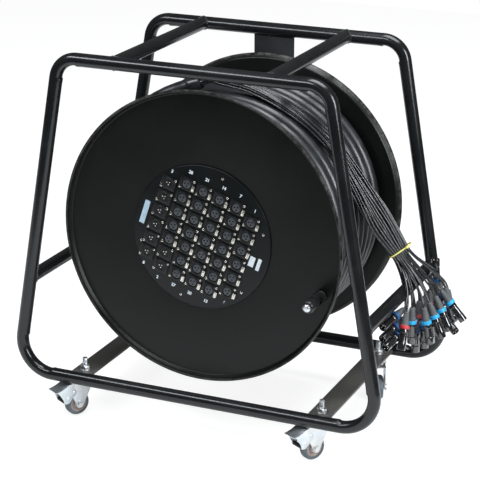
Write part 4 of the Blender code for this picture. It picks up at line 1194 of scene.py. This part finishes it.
GRID_EULER = (math.pi / 2, GRID_TURN, 0.0)
GRID_PLACE = Matrix.Translation((GRID_SHIFT_X, PANEL_FRONT_Y + MIDDLE_Y, DRUM_Z))
GRID = GRID_PLACE @ Euler(GRID_EULER).to_matrix().to_4x4()
LABEL_THICK = 0.0003
MIDDLE_COLUMN = (len(ROWS) - 1) / 2
HOLES_R = 0.0038
PINS_R = 0.0032


def grid_places():
    females, males = [], []
    for column, rows in enumerate(ROWS):
        u = (column - MIDDLE_COLUMN) * COLUMN_PITCH
        for row in range(rows):
            v = (row - (rows - 1) / 2) * ROW_PITCH
            (males if column == 0 or (column == 1 and row < 2) else females).append((u, v))
    return females, males


def on_grid(places, shift=(0.0, 0.0), out=0.0):
    return [GRID @ Vector((u + shift[0], v + shift[1], out)) for u, v in places]


def put_screw(shape, size=0.0025):
    """A pan head; its cross recess is painted shade, a dark cross laid on the head."""
    head = [
        (0, 0.0011), (size * 0.5, 0.00115), (size * 0.9, 0.0008), (size, 0.0002), (size, -0.0003),
        (0, -0.0003)
    ]
    turned(shape, head, [0, 0.001, 0.0006, 0.0002, 0, 0], 20)


# Painted shade: a thin dark cross on the screw head stands for the shade in its recess.
def put_cross(shape, size=0.0025):
    for turn in (45, 135):
        plate(shape, rectangle(size * 0.55, size * 0.12), 0.00108, 0.00122, rotated("Z", turn), 0.0)


def female_plate(shape):
    """An oblong flange with a raised collar round the socket, and the barrel behind the panel."""
    plate(shape, rectangle(0.0155, 0.013, 0.0018, 4), GAP, 0.0022, HERE, 0.0005)
    collar = [(0.0118, 0.0040), (0.0122, 0.0018), (0.0098, 0.0018), (0.0098, 0.0040)]
    turned(shape, collar, [0.0005, 0.0003, 0.0001, 0.0004], 40, segments=2)
    barrel = [(0.0110, 0.0004), (0.0110, -0.0245), (0.0, -0.0245)]
    lathe(shape, [(0, 0.0004), *barrel], 24)
    plate(shape, rectangle(0.004, 0.0151), -0.0252, -0.0232, HERE, 0.0)


def female_insert(shape):
    """The grey face of the socket; its three round holes and keyway are not cut but painted as dark shade
    over it.
    """
    face = [(0, 0.0034), (0.0084, 0.0034), (0.0084, 0.0012), (0.0, 0.0012)]
    turned(shape, face, [0, 0.0005, 0, 0], 40, segments=2)


def painted_hole_shade(shape):
    """Painted shade of a socket: dark rings and discs for the groove round its insert, the holes' depths and
    the keyway, where only shade falls.
    """
    lathe(shape, [(0.0099, 0.0025), (0.0099, 0.0021), (0.0083, 0.0021), (0.0083, 0.0025)], 40)
    for angle in CONTACT_ANGLES:
        spot = spoke(HOLES_R, angle)
        rim = [(0.00165, 0.0036), (0.00165, 0.0033), (0.00125, 0.0033), (0.00125, 0.0036)]
        lathe(shape, rim, 16, spot)
        lathe(shape, [(0, 0.00345), (0.0013, 0.00345), (0.0013, 0.0033), (0, 0.0033)], 16, spot)
    plate(shape, rectangle(0.0011, 0.0012, 0.0, 2, (0, -0.0082)), 0.0033, 0.00355, HERE, 0.0)


def latch(shape):
    """The pale metal release tab beside the socket, with raised ribs."""
    plate(shape, rectangle(0.0030, 0.0062, 0.0012, 4), 0.0018, 0.0040, HERE, 0.0006)
    for i in range(4):
        plate(
            shape, rectangle(0.0021, 0.00055, 0.0004, 2, (0, (i - 1.5) * 0.0027)), 0.0038, 0.0045, HERE,
            0.0002
        )


def male_plate(shape):
    plate(shape, rectangle(0.0155, 0.013, 0.0018, 4), GAP, 0.0022, HERE, 0.0005)
    cup = [
        (0.0112, 0.0038), (0.0118, 0.0016), (0.0112, 0.0010), (0.0112, -0.0245), (0.0079, -0.0245),
        (0.0079, 0.0038)
    ]
    turned(shape, cup, [0.0014, 0.0004, 0, 0.0005, 0, 0.0012], 40)


def cup_floor(shape):
    lathe(shape, [(0, -0.0112), (0.0079, -0.0112), (0.0079, -0.0200), (0, -0.0200)], 32)
    plate(shape, rectangle(0.0013, 0.0008, 0.0, 2, (0, -0.0070)), -0.0115, -0.001, HERE, 0.0)


def pins(shape):
    for angle in CONTACT_ANGLES:
        spot = spoke(PINS_R, angle)
        line = [(0, 0.0030), (0.0007, 0.0028), (0.0013, 0.0016), (0.0013, -0.0115), (0, -0.0115)]
        turned(shape, line, [0, 0.0004, 0.0004, 0, 0], 14, spot)


def build_panel():
    females, males = grid_places()
    turn = GRID_EULER

    def disc(shape):
        face = [
            (0, -PANEL_FRONT_Y), (PANEL_R, -PANEL_FRONT_Y), (PANEL_R, -PANEL_FRONT_Y - 0.003),
            (0, -PANEL_FRONT_Y - 0.003)
        ]
        at = Matrix.Translation((0, MIDDLE_Y, DRUM_Z)) @ rotated("X", 90)
        turned(shape, face, [0, 0.0020, 0.0004, 0], 160, at, segments=4)

    piece("panel_disc", disc, PANEL_BLACK, "drum", ["connector_panel"])
    columns = [f"socket_column_{n}" for n in range(2, 7)]
    cups = [f"male_connector_{n}" for n in range(1, 9)]
    repeated(
        "socket_flanges", female_plate, on_grid(females), turn, CASTING_BLACK, "drum", "connector_black",
        columns
    )
    repeated(
        "socket_inserts", female_insert, on_grid(females), turn, INSERT_GREY, "drum", "connector_black"
    )
    repeated("socket_contacts", painted_hole_shade, on_grid(females), turn, INSERT_AND_RECESS_SHADE, "drum", "connector_black")
    repeated("socket_latches", latch, on_grid(females, (0.0148, -0.0030)), turn, NICKEL, "drum", "zinc")
    repeated("plug_cups", male_plate, on_grid(males), turn, CASTING_BLACK, "drum", "connector_black", cups)
    repeated("cup_floors", cup_floor, on_grid(males), turn, INSERT_AND_RECESS_SHADE, "drum", "connector_black")
    repeated("cup_pins", pins, on_grid(males), turn, PIN_SILVER, "drum", "zinc")
    every = females + males
    screws = on_grid(every, (0.0132, 0.0104), 0.0022) + on_grid(every, (-0.0128, -0.0100), 0.0022)
    rim = []
    for degrees in (10.0, 70.0, 130.0, 190.0, 250.0, 310.0):
        a = math.radians(degrees)
        x, z = RIM_SCREWS_R * math.cos(a), RIM_SCREWS_R * math.sin(a)
        rim.append(Vector((x, PANEL_FRONT_Y + MIDDLE_Y, DRUM_Z + z)))
    repeated("panel_screws", put_screw, screws + rim, turn, NICKEL, "drum", "zinc")
    repeated("screw_recesses", put_cross, screws + rim, turn, INSERT_AND_RECESS_SHADE, "drum", "zinc")
    build_numbers()
    strip_at = GRID @ Matrix.Translation((-0.1190, -0.0012, 0.0))
    piece(
        "blank_strip",
        lambda s: plate(s, rectangle(0.0054, 0.0245, 0.0006, 3), 0.0, LABEL_THICK, strip_at, 0.0),
        STRIP_PALE, "drum"
    )

    def labels(shape):
        for across, half_x, half_y in ((0.1157, 0.0056, 0.0105), (0.1305, 0.0036, 0.0125)):
            label_at = GRID @ Matrix.Translation((across, 0.0032, 0.0))
            plate(shape, rectangle(half_x, half_y, 0.0006, 3), 0.0, LABEL_THICK, label_at, 0.0)

    piece("blank_labels", labels, STRIP_WHITE, "drum")


def build_numbers():
    """Plain numbers at both ends of every column: sockets 1 to 32 and cups 1 to 8."""
    tops = ("3", "28", "21", "14", "7", "1")
    feet = ("8", "2", "27", "20", "13", "6")
    text_size, text_swell, text_thick = 0.0085, 0.00035, 0.00008
    meshes = []
    for column, rows in enumerate(ROWS):
        u = (column - MIDDLE_COLUMN) * COLUMN_PITCH
        reach = (rows - 1) / 2 * ROW_PITCH
        for text, v in ((tops[column], reach + 0.0250), (feet[column], -reach - 0.0258)):
            curve = bpy.data.curves.new("number", "FONT")
            curve.body = text
            curve.size = text_size
            curve.align_x = "CENTER"
            curve.align_y = "CENTER"
            curve.offset = text_swell
            curve.extrude = text_thick
            helper = bpy.data.objects.new("number", curve)
            bpy.context.scene.collection.objects.link(helper)
            bpy.context.view_layer.update()
            mesh = bpy.data.meshes.new_from_object(helper)
            mesh.transform(GRID @ Matrix.Translation((u, v, 0.00012)))
            meshes.append(mesh)
            bpy.data.objects.remove(helper)

    def fill(shape):
        for mesh in meshes:
            shape.from_mesh(mesh)

    piece("panel_numbers", fill, INK_WHITE, "drum")
    for mesh in meshes:
        bpy.data.meshes.remove(mesh)


def build_crank():
    base = -(FRONT_INNER_Y - 0.0025 - GAP)
    at = Matrix.Translation((CRANK_X, MIDDLE_Y, CRANK_Z)) @ rotated("X", 90)
    nut_front = base + CRANK_NUT_HEIGHT
    grip_front = nut_front + GAP + GRIP_LENGTH

    def bolt(shape):
        hexagon(shape, 0.013, base + 0.0012, nut_front, at)
        washer = [(0.0105, base + 0.0013), (0.0105, base), (0.0045, base), (0.0045, base + 0.0013)]
        turned(shape, washer, [0.0003] * 4, 32, at, segments=2)
        top = grip_front + 0.0063
        line = [
            (0, top), (0.0042, top), (0.0072, top - 0.0022), (0.0075, grip_front + 0.0003),
            (0.004, grip_front + 0.0003), (0.004, 0.1475 + 0.0003), (0, 0.1475 + 0.0003)
        ]
        turned(shape, line, [0, 0.002, 0.001, 0.0003, 0, 0.0003, 0], 32, at)

    piece("crank_bolt_set", bolt, ZINC, "drum", ["crank_bolt"])

    def grip(shape):
        low, high = nut_front + 0.0003, grip_front
        line = [
            (0.0105, high), (0.0125, high - 0.004), (0.0118, (low + high) / 2), (0.0125, low + 0.006),
            (0.0125, low), (0.0046, low), (0.0046, high)
        ]
        turned(shape, line, [0.002, 0.006, 0.06, 0.01, 0.0012, 0.0004, 0.0008], 48, at, segments=5)

    piece("crank_handle", grip, GRIP_BLACK, "grip", ["crank_grip"])


# Cable

def drum_point(radius, degrees, y):
    angle = math.radians(degrees)
    return Vector((radius * math.cos(angle), y + MIDDLE_Y, DRUM_Z + radius * math.sin(angle)))


def winding_points():
    """The outer layer of turns, the climb at the front flange and the last lap over the layer."""
    per_turn = 60
    count = round(LAYER_TURNS * per_turn)
    points = []
    wander = np.random.default_rng(11)
    waves = wander.uniform(0, 2 * math.pi, 3)
    for i in range(count + 1):
        share = i / count
        degrees = LAYER_END_DEG + (count - i) * 360 / per_turn
        turn = math.radians(degrees)
        radius = LAYER_MIDDLE_R + 0.0004 * math.sin(3 * turn + waves[0])
        sway = 0.0004 * math.sin(2 * turn + waves[1]) * math.sin(math.pi * share)
        y = LAYER_START_Y + (LAYER_END_Y - LAYER_START_Y) * share + sway
        points.append(drum_point(radius, degrees, y))
    for i in range(1, 13):
        share = i / 12
        rise = share * share * (3 - 2 * share)
        radius = LAYER_MIDDLE_R + (LAP_R - LAYER_MIDDLE_R) * rise
        points.append(drum_point(radius, LAYER_END_DEG - CLIMB_DEG * share, LAYER_END_Y))
    for i in range(1, 31):
        share = i / 30
        y = LAYER_END_Y + (LAP_END_Y - LAYER_END_Y) * share
        points.append(drum_point(LAP_R, LAYER_END_DEG - CLIMB_DEG - LAP_DEG * share, y))
    return points


def cable_end():
    """Where the last lap stops, and which way it points there."""
    degrees = LAYER_END_DEG - CLIMB_DEG - LAP_DEG
    angle = math.radians(degrees)
    slope = (LAP_END_Y - LAYER_END_Y) / (LAP_R * math.radians(LAP_DEG))
    way = Vector((math.sin(angle), slope, -math.cos(angle))).normalized()
    return drum_point(LAP_R, degrees, LAP_END_Y), way


def build_cable():
    points = winding_points()
    start, way = cable_end()
    end = start + way * CABLE_D
    points.append(start + way * CABLE_D / 2)
    points.append(end)

    piece(
        "cable_turns", lambda s: sweep(s, points, CABLE_D / 2, 24), CABLE_BLACK, "drum",
        ["cable_winding"], 60
    )

    def inner(shape):
        ring = [
            (0.2272, BACK_INNER_Y - 0.0005), (0.2272, FRONT_INNER_Y + 0.0005),
            (0.1543, FRONT_INNER_Y + 0.0005), (0.1543, BACK_INNER_Y - 0.0005)
        ]
        lathe(shape, ring, 96, AXIS)

    piece("inner_turns", inner, CABLE_BLACK, "drum", ["cable_core"])

    def sleeve(shape):
        turn = way.to_track_quat("Z", "Y").to_matrix().to_4x4()
        at = Matrix.Translation(end) @ turn
        line = [
            (0.0128, 0.0218), (0.0139, 0.0210), (0.0148, 0.010), (0.0156, 0.0), (0.0153, -0.006),
            (0.0140, -0.007), (0.0136, 0.012)
        ]
        turned(shape, line, [0.0005, 0.001, 0.01, 0.004, 0.001, 0.0002, 0.0005], 40, at)
        lathe(shape, [(0, 0.0150), (0.0137, 0.0150), (0.0137, 0.0100), (0, 0.0100)], 32, at)

    piece("sleeve_boot", outward(sleeve), GRIP_BLACK, "drum", ["breakout_sleeve"])
    return end, way


# Tails and their plugs. Rows are the middle of the flat bundle, then half its width and half its thickness.

STRANDS = 25
STRAND_D = 0.0040
OVER_DRUM = (
    (0.2790, 93.0, -0.0290, 0.0150, 0.0095),
    (0.2725, 80.0, -0.0235, 0.0200, 0.0075),
    (0.2660, 65.0, -0.0130, 0.0280, 0.0055),
    (0.2650, 50.0, -0.0020, 0.0330, 0.0048),
    (0.2650, 36.0, 0.0090, 0.0340, 0.0045),
)
TO_TIE = ((0.2600, 0.020, 0.4870, 0.0360, 0.0048), (0.3000, 0.031, 0.4220, 0.0350, 0.0056))
TIE_PLACE = (0.3350, 0.040, 0.3650, 0.0240, 0.0066)
# The bundle turns towards the viewer between the drum and the tie
TWIST_DEGREES = (14.0, 32.0, 50.0)
PLUG_LENGTH = 0.074
# Each plug: the end of its boot, the way it points, its ring's colour and the solid that it stands for
PLUGS = (
    ((0.3765, -0.034, 0.270), (0.0, -0.40, -0.92), "red", "tail_plug_1"),
    ((0.3780, -0.008, 0.270), (0.0, 0.04, -1.0), "blue", "tail_plug_2"),
    ((0.3985, 0.002, 0.269), (0.20, 0.02, -0.98), "blue", "tail_plug_3"),
    ((0.3985, 0.035, 0.268), (0.40, 0.0, -0.92), "blue", "tail_plug_4"),
    ((0.3990, 0.073, 0.268), (0.43, 0.0, -0.90), "blue", "tail_plug_5"),
    ((0.3990, 0.110, 0.267), (0.66, 0.0, -0.75), "blue", "tail_plug_6"),
    ((0.3950, 0.0185, 0.254), (0.03, 0.0, -1.0), "navy", "plug_cluster"),
    ((0.3950, 0.0540, 0.252), (0.05, 0.0, -1.0), "navy", None),
    ((0.3950, 0.0915, 0.254), (0.04, 0.0, -1.0), "navy", None),
    ((0.3745, 0.0110, 0.262), (0.00, 0.02, -1.0), "red", None),
    ((0.3745, 0.0285, 0.238), (0.02, 0.0, -1.0), "navy", None),
    ((0.3745, 0.0460, 0.264), (0.00, -0.02, -1.0), "red", None),
    ((0.3745, 0.0635, 0.240), (0.02, 0.0, -1.0), "navy", None),
    ((0.3745, 0.0810, 0.262), (0.00, 0.01, -1.0), "red", None),
    ((0.3745, 0.0985, 0.238), (0.02, 0.0, -1.0), "navy", None),
    ((0.3745, 0.1160, 0.264), (0.00, 0.0, -1.0), "red", None),
    ((0.3745, 0.1335, 0.250), (0.00, 0.0, -1.0), "navy", None),
    ((0.3658, -0.0220, 0.2693), (-0.24, -0.94, -0.21), "navy", None),
    ((0.3645, -0.0220, 0.2505), (-0.22, -0.93, -0.28), "navy", None),
    ((0.3700, -0.0220, 0.2320), (-0.20, -0.93, -0.25), "navy", None),
    ((0.3745, 0.1533, 0.217), (0.75, -0.45, -0.50), "navy", None),
    ((0.3985, 0.1390, 0.264), (0.25, 0.10, -0.96), "blue", None),
    ((0.3985, 0.1600, 0.252), (0.10, 0.10, -1.0), "red", None),
    ((0.3765, 0.1740, 0.262), (0.05, 0.03, -1.0), "navy", None),
    ((0.3765, 0.1570, 0.242), (-0.06, -0.06, 1.0), "navy", None),
)


def smooth_route(places, per_step):
    """Points on a smooth curve through the given ones."""
    rows = np.array(places, float)
    ends = np.vstack([2 * rows[0] - rows[1], rows, 2 * rows[-1] - rows[-2]])
    route = []
    for i in range(1, len(ends) - 2):
        a, b, c, d = ends[i - 1 : i + 3]
        for t in np.arange(per_step) / per_step:
            blend = 2 * b + (c - a) * t + (2 * a - 5 * b + 4 * c - d) * t**2
            route.append(0.5 * (blend + (3 * b - 3 * c + d - a) * t**3))
    route.append(rows[-1])
    return np.array(route)


def strand_slots():
    """Each strand's place in the round bundle at the sleeve, and in the flat one: column share and layer."""
    pitch = STRAND_D + 0.0001
    spots = []
    for row in range(-5, 6):
        for column in range(-5, 6):
            spots.append(((column + 0.5 * (row % 2)) * pitch, row * pitch * math.sqrt(0.75)))
    spots.sort(key=lambda p: math.hypot(p[0] - 0.0009, p[1] - 0.0005))
    spots = sorted(spots[:STRANDS])
    slots = []
    columns = math.ceil(STRANDS / 3)
    for start in range(0, STRANDS, 3):
        group = sorted(spots[start : start + 3], key=lambda p: p[1])
        for layer, spot in enumerate(group):
            share = (start / 3 + 0.5 + (0.5 if layer == 1 else 0.0)) / (columns + 0.5) * 2 - 1
            slots.append((spot, share, layer - 1))
    return slots


def bundle_rows(sleeve_end, way):
    """The bundle's rows from inside the sleeve to the tie, and the vectors across its width and thickness."""
    tip = sleeve_end + way * SLEEVE_REACH
    rows = [
        (*(tip - way * 0.008), 0.0115, 0.0115), (*tip, 0.0115, 0.0115),
        (*(tip + way * 0.023), 0.0127, 0.0110)
    ]
    for radius, degrees, y, half_width, half_thick in OVER_DRUM:
        rows.append((*drum_point(radius, degrees, y), half_width, half_thick))
    for row in (*TO_TIE, TIE_PLACE):
        rows.append((row[0], row[1] + MIDDLE_Y, *row[2:]))
    rows = np.array(rows)
    sides = []
    twists = (0.0,) * (len(rows) - 3) + TWIST_DEGREES
    for forward, twist in zip(np.gradient(rows[:, :3], axis=0), twists):
        forward = Vector(forward).normalized()
        wide = (Vector((0, 1, 0)) - forward * forward.y).normalized()
        turn = Matrix.Rotation(math.radians(twist), 3, forward)
        sides.append((turn @ wide, turn @ forward.cross(wide)))
    return rows, sides


def strand_route(slot, plug, rows, sides, wander):
    """A tail from the sleeve over the drum and through the tie, then over the side tube to its own plug."""
    (across, up), share, layer = slot
    top, way = Vector(plug[0]) + Vector((0, MIDDLE_Y, 0)), Vector(plug[1]).normalized()
    points = []
    for i, (row, (wide, thick)) in enumerate(zip(rows, sides)):
        flat = min(1.0, max(0.0, (i - 2) / 3))
        drift = 0.0 if i < 3 or i == len(rows) - 1 else wander[i] * (0.0035 if layer == 1 else 0.0016)
        reach, height = row[3] - STRAND_D / 2, row[4] - STRAND_D / 2
        sideways = across * (1 - flat) + (share * reach + drift) * flat
        lift = up * (1 - flat) + layer * height * flat
        points.append(Vector(row[:3]) + wide * sideways + thick * lift)
    tie = points[-1]
    leave = (tie - points[-2]).normalized() * 0.13
    if way.z > 0:
        bend = [
            (0.366, 0.105, 0.318), (0.388, 0.148, 0.272), (0.396, 0.163, 0.240), (0.392, 0.166, 0.218),
            (0.3815, 0.160, 0.216)
        ]
        points.extend(Vector(p) + Vector((0, MIDDLE_Y, 0)) for p in bend)
    else:
        arrive = way * (0.07 if way.y < -0.6 else 0.11)
        for t in (0.17, 0.34, 0.51, 0.68, 0.84):
            point = (
                tie * (2 * t**3 - 3 * t**2 + 1)
                + leave * (t**3 - 2 * t**2 + t)
                + top * (3 * t**2 - 2 * t**3)
                + arrive * (t**3 - t**2)
            )
            points.append(point)
    points.extend([top, top + way * 0.008])
    return smooth_route([tuple(p) for p in points], 6)


def build_plug(number, plug):
    """A connector of a tail: ribbed boot, colour ring, shell and contacts."""
    place_at, way, colour, solid = plug
    top, way = Vector(place_at) + Vector((0, MIDDLE_Y, 0)), Vector(way).normalized()
    turn = (-way).to_track_quat("Z", "Y").to_matrix().to_4x4()
    at = Matrix.Translation(top + way * PLUG_LENGTH) @ turn @ rotated("Z", 47 * number)

    def fill(shape):
        boot = [(0, 0.0740), (0.0036, 0.0740), (0.0050, 0.0730)]
        for i in range(6):
            z = 0.0715 - i * 0.0034
            size = 0.0052 + i * 0.00042
            boot += [
                (size, z), (size + 0.0003, z - 0.0012), (size - 0.0004, z - 0.0018),
                (size - 0.0003, z - 0.0027)
            ]
        boot += [(0.0078, 0.0505), (0.0080, 0.0478), (0, 0.0478)]
        lathe(shape, boot, 28, at, 0)
        ring = [(0.0100, 0.0478), (0.0100, 0.0408), (0.0070, 0.0408), (0.0070, 0.0478)]
        turned(shape, ring, [0.0010, 0.0010, 0.0002, 0.0002], 36, at, 1)
        shell = [
            (0.0080, 0.0412), (0.0082, 0.0340), (0.0078, 0.0330), (0.0078, 0.0150), (0.0083, 0.0135),
            (0.0083, 0.0), (0.0070, 0.0), (0.0070, 0.0130), (0.0060, 0.0412)
        ]
        radii = [0.0003, 0.0004, 0.0004, 0.0006, 0.0006, 0.0006, 0.0003, 0, 0]
        turned(shape, shell, radii, 36, at, 2, segments=2)
        lathe(shape, [(0, 0.0125), (0.0070, 0.0125), (0.0070, 0.0150), (0, 0.0150)][::-1], 24, at, 4)
        for turn_to in (90, 210, 330):
            spot = at @ spoke(0.0042, turn_to)
            pin = [(0, 0.0128), (0.0012, 0.0128), (0.0012, 0.0022), (0.0006, 0.0014), (0, 0.0014)]
            turned(shape, pin, [0, 0, 0.0005, 0.0003, 0], 12, spot, 3, segments=2)
        face_out(shape)

    ring_finish = {"blue": RING_BLUE, "navy": RING_NAVY, "red": RING_RED}[colour]
    finishes = [BOOT_GREY, ring_finish, SHELL_BLACK, NICKEL, INSERT_AND_RECESS_SHADE]
    solids = [solid] if solid else []
    return piece(f"tail_connector_{number}", fill, finishes, "frame", solids, 35)


def build_tie(rows, sides):
    """A thin yellow band round the bundle, with its head on the outer face."""
    centre, (wide, thick) = Vector(rows[-1][:3]), sides[-1]
    along = wide.cross(thick)
    half_wide, half_thick = rows[-1][3] + 0.0008, rows[-1][4] + 0.0010
    rings = []
    for angle in full_turn(72):
        across, up = math.cos(angle), math.sin(angle)
        out = (wide * across * half_thick + thick * up * half_wide).normalized()
        across = math.copysign(abs(across) ** 0.6, across)
        up = math.copysign(abs(up) ** 0.6, up)
        spot = centre + wide * across * half_wide + thick * up * half_thick
        corners = ((-0.0013, 0.0), (0.0013, 0.0), (0.0013, 0.0011), (-0.0013, 0.0011))
        rings.append([spot + along * a + out * o for a, o in corners])

    def fill(shape):
        skin(shape, rings, cyclic=True)
        turn = Matrix((wide, along, thick)).transposed().to_4x4()
        head_at = Matrix.Translation(centre + wide * 0.012 + thick * (half_thick + 0.0006)) @ turn
        plate(shape, rectangle(0.0028, 0.0023, 0.0006, 2), 0.0, 0.0034, head_at, 0.0005)
        face_out(shape)

    piece("tie_band", fill, TIE_YELLOW, "frame", ["cable_tie"])


def build_tails(sleeve_end, way):
    rows, sides = bundle_rows(sleeve_end, way)
    slots = strand_slots()
    order = sorted(range(STRANDS), key=lambda i: PLUGS[i][0][1] + PLUGS[i][1][1] * 0.05)
    plugs = []
    for start in range(0, STRANDS, 3):
        plugs.extend(sorted(order[start : start + 3], key=lambda i: PLUGS[i][0][0]))
    rng = np.random.default_rng(5)
    for number, (slot, plug) in enumerate(zip(slots, plugs), 1):
        route = strand_route(slot, PLUGS[plug], rows, sides, rng.uniform(-1, 1, len(rows)))
        name = f"tail_{number}"
        mesh = filled_mesh(name, lambda shape, way_along=route: sweep(shape, way_along, STRAND_D / 2, 9))
        shaded(mesh, 60)
        strand = link(name, mesh, [STRAND_BLACK])
        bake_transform(strand)
        if number == 1:
            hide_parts("tail_ribbon", "tail_fan")
        connector = build_plug(plug + 1, PLUGS[plug])
    build_tie(rows, sides)


# Camera, light and floor

def build_camera():
    azimuth, elevation, roll = (math.radians(v) for v in CAMERA_TURN)
    level = math.cos(elevation)
    back = Vector((math.sin(azimuth) * level, -math.cos(azimuth) * level, math.sin(elevation)))
    right = Vector((math.cos(azimuth), math.sin(azimuth), 0))
    up = back.cross(right)
    right, up = right * math.cos(roll) + up * math.sin(roll), up * math.cos(roll) - right * math.sin(roll)
    data = bpy.data.cameras.new("camera")
    data.lens = CAMERA_LENS
    data.sensor_width = 36
    data.clip_end = 50
    camera = bpy.data.objects.new("camera", data)
    bpy.context.scene.collection.objects.link(camera)
    turn = Matrix((right, up, back)).transposed().to_4x4()
    camera.matrix_world = Matrix.Translation(CAMERA_PLACE) @ turn
    bpy.context.scene.camera = camera


def soft_light(name, place_at, target, size, power, colour):
    data = bpy.data.lights.new(name, "AREA")
    data.shape = "RECTANGLE"
    data.size, data.size_y = size
    data.energy = power
    data.color = colour
    light = bpy.data.objects.new(name, data)
    light.location = place_at
    light.visible_camera = False
    light.rotation_euler = (Vector(place_at) - Vector(target)).to_track_quat("Z", "Y").to_euler()
    bpy.context.scene.collection.objects.link(light)


def build_stage():
    soft_light(
        "front_softbox", (-0.65, -1.15, 1.75), (-0.05, -0.2, 0.4), (1.5, 0.26), 21, (0.92, 0.96, 1.0)
    )
    soft_light("top_softbox", (0.5, -0.1, 3.0), (0, 0, 0.4), (1.8, 1.8), 88, (0.94, 0.98, 1.0))
    soft_light("right_softbox", (2.6, -0.7, 1.35), (0.2, 0, 0.4), (0.7, 1.5), 62, (0.93, 0.97, 1.0))
    world = bpy.data.worlds.new("studio")
    bpy.context.scene.world = world
    world.use_nodes = True
    tree = world.node_tree
    path = tree.nodes.new("ShaderNodeLightPath")
    seen = maths(tree, "MAXIMUM", path.outputs["Is Camera Ray"], path.outputs["Is Transmission Ray"])
    ambient = tree.nodes["Background"]
    ambient.inputs["Color"].default_value = (1, 1, 1, 1)
    shine = maths(tree, "MULTIPLY", path.outputs["Is Glossy Ray"], -0.22)
    strength = maths(tree, "ADD", shine, 0.30)
    tree.links.new(maths(tree, "MAXIMUM", strength, seen), ambient.inputs["Strength"])

    mesh = bpy.data.meshes.new("floor")
    # The sheet ends not far in front of the drum, so the upper half of the flange reflects a dark room
    left, right, front, back, down = -3.0, 1.0, -1.10, 4.0, -0.0002
    mesh.from_pydata(
        [(left, front, down), (right, front, down), (right, back, down), (left, back, down)], [],
        [(0, 1, 2, 3)]
    )
    material = bpy.data.materials.new("pale_floor")
    material.use_nodes = True
    tree = material.node_tree
    shader = tree.nodes["Principled BSDF"]
    shader.inputs["Base Color"].default_value = (0.82, 0.82, 0.82, 1)
    shader.inputs["Roughness"].default_value = 0.9
    shader.inputs["Specular IOR Level"].default_value = 0.1
    path = tree.nodes.new("ShaderNodeLightPath")
    glow = tree.nodes.new("ShaderNodeEmission")
    blend = tree.nodes.new("ShaderNodeMixShader")
    glow.inputs["Strength"].default_value = 1.3
    tree.links.new(maths(tree, "MULTIPLY", path.outputs["Is Camera Ray"], 0.65), blend.inputs[0])
    tree.links.new(shader.outputs[0], blend.inputs[1])
    tree.links.new(glow.outputs[0], blend.inputs[2])
    tree.links.new(blend.outputs[0], tree.nodes["Material Output"].inputs["Surface"])
    floor = link("floor", mesh, [material])
    bpy.context.scene.view_settings.view_transform = "Standard"


build_camera()
build_stage()
build_frame()
build_casters()
build_drum()
build_panel()
build_crank()
build_tails(*build_cable())
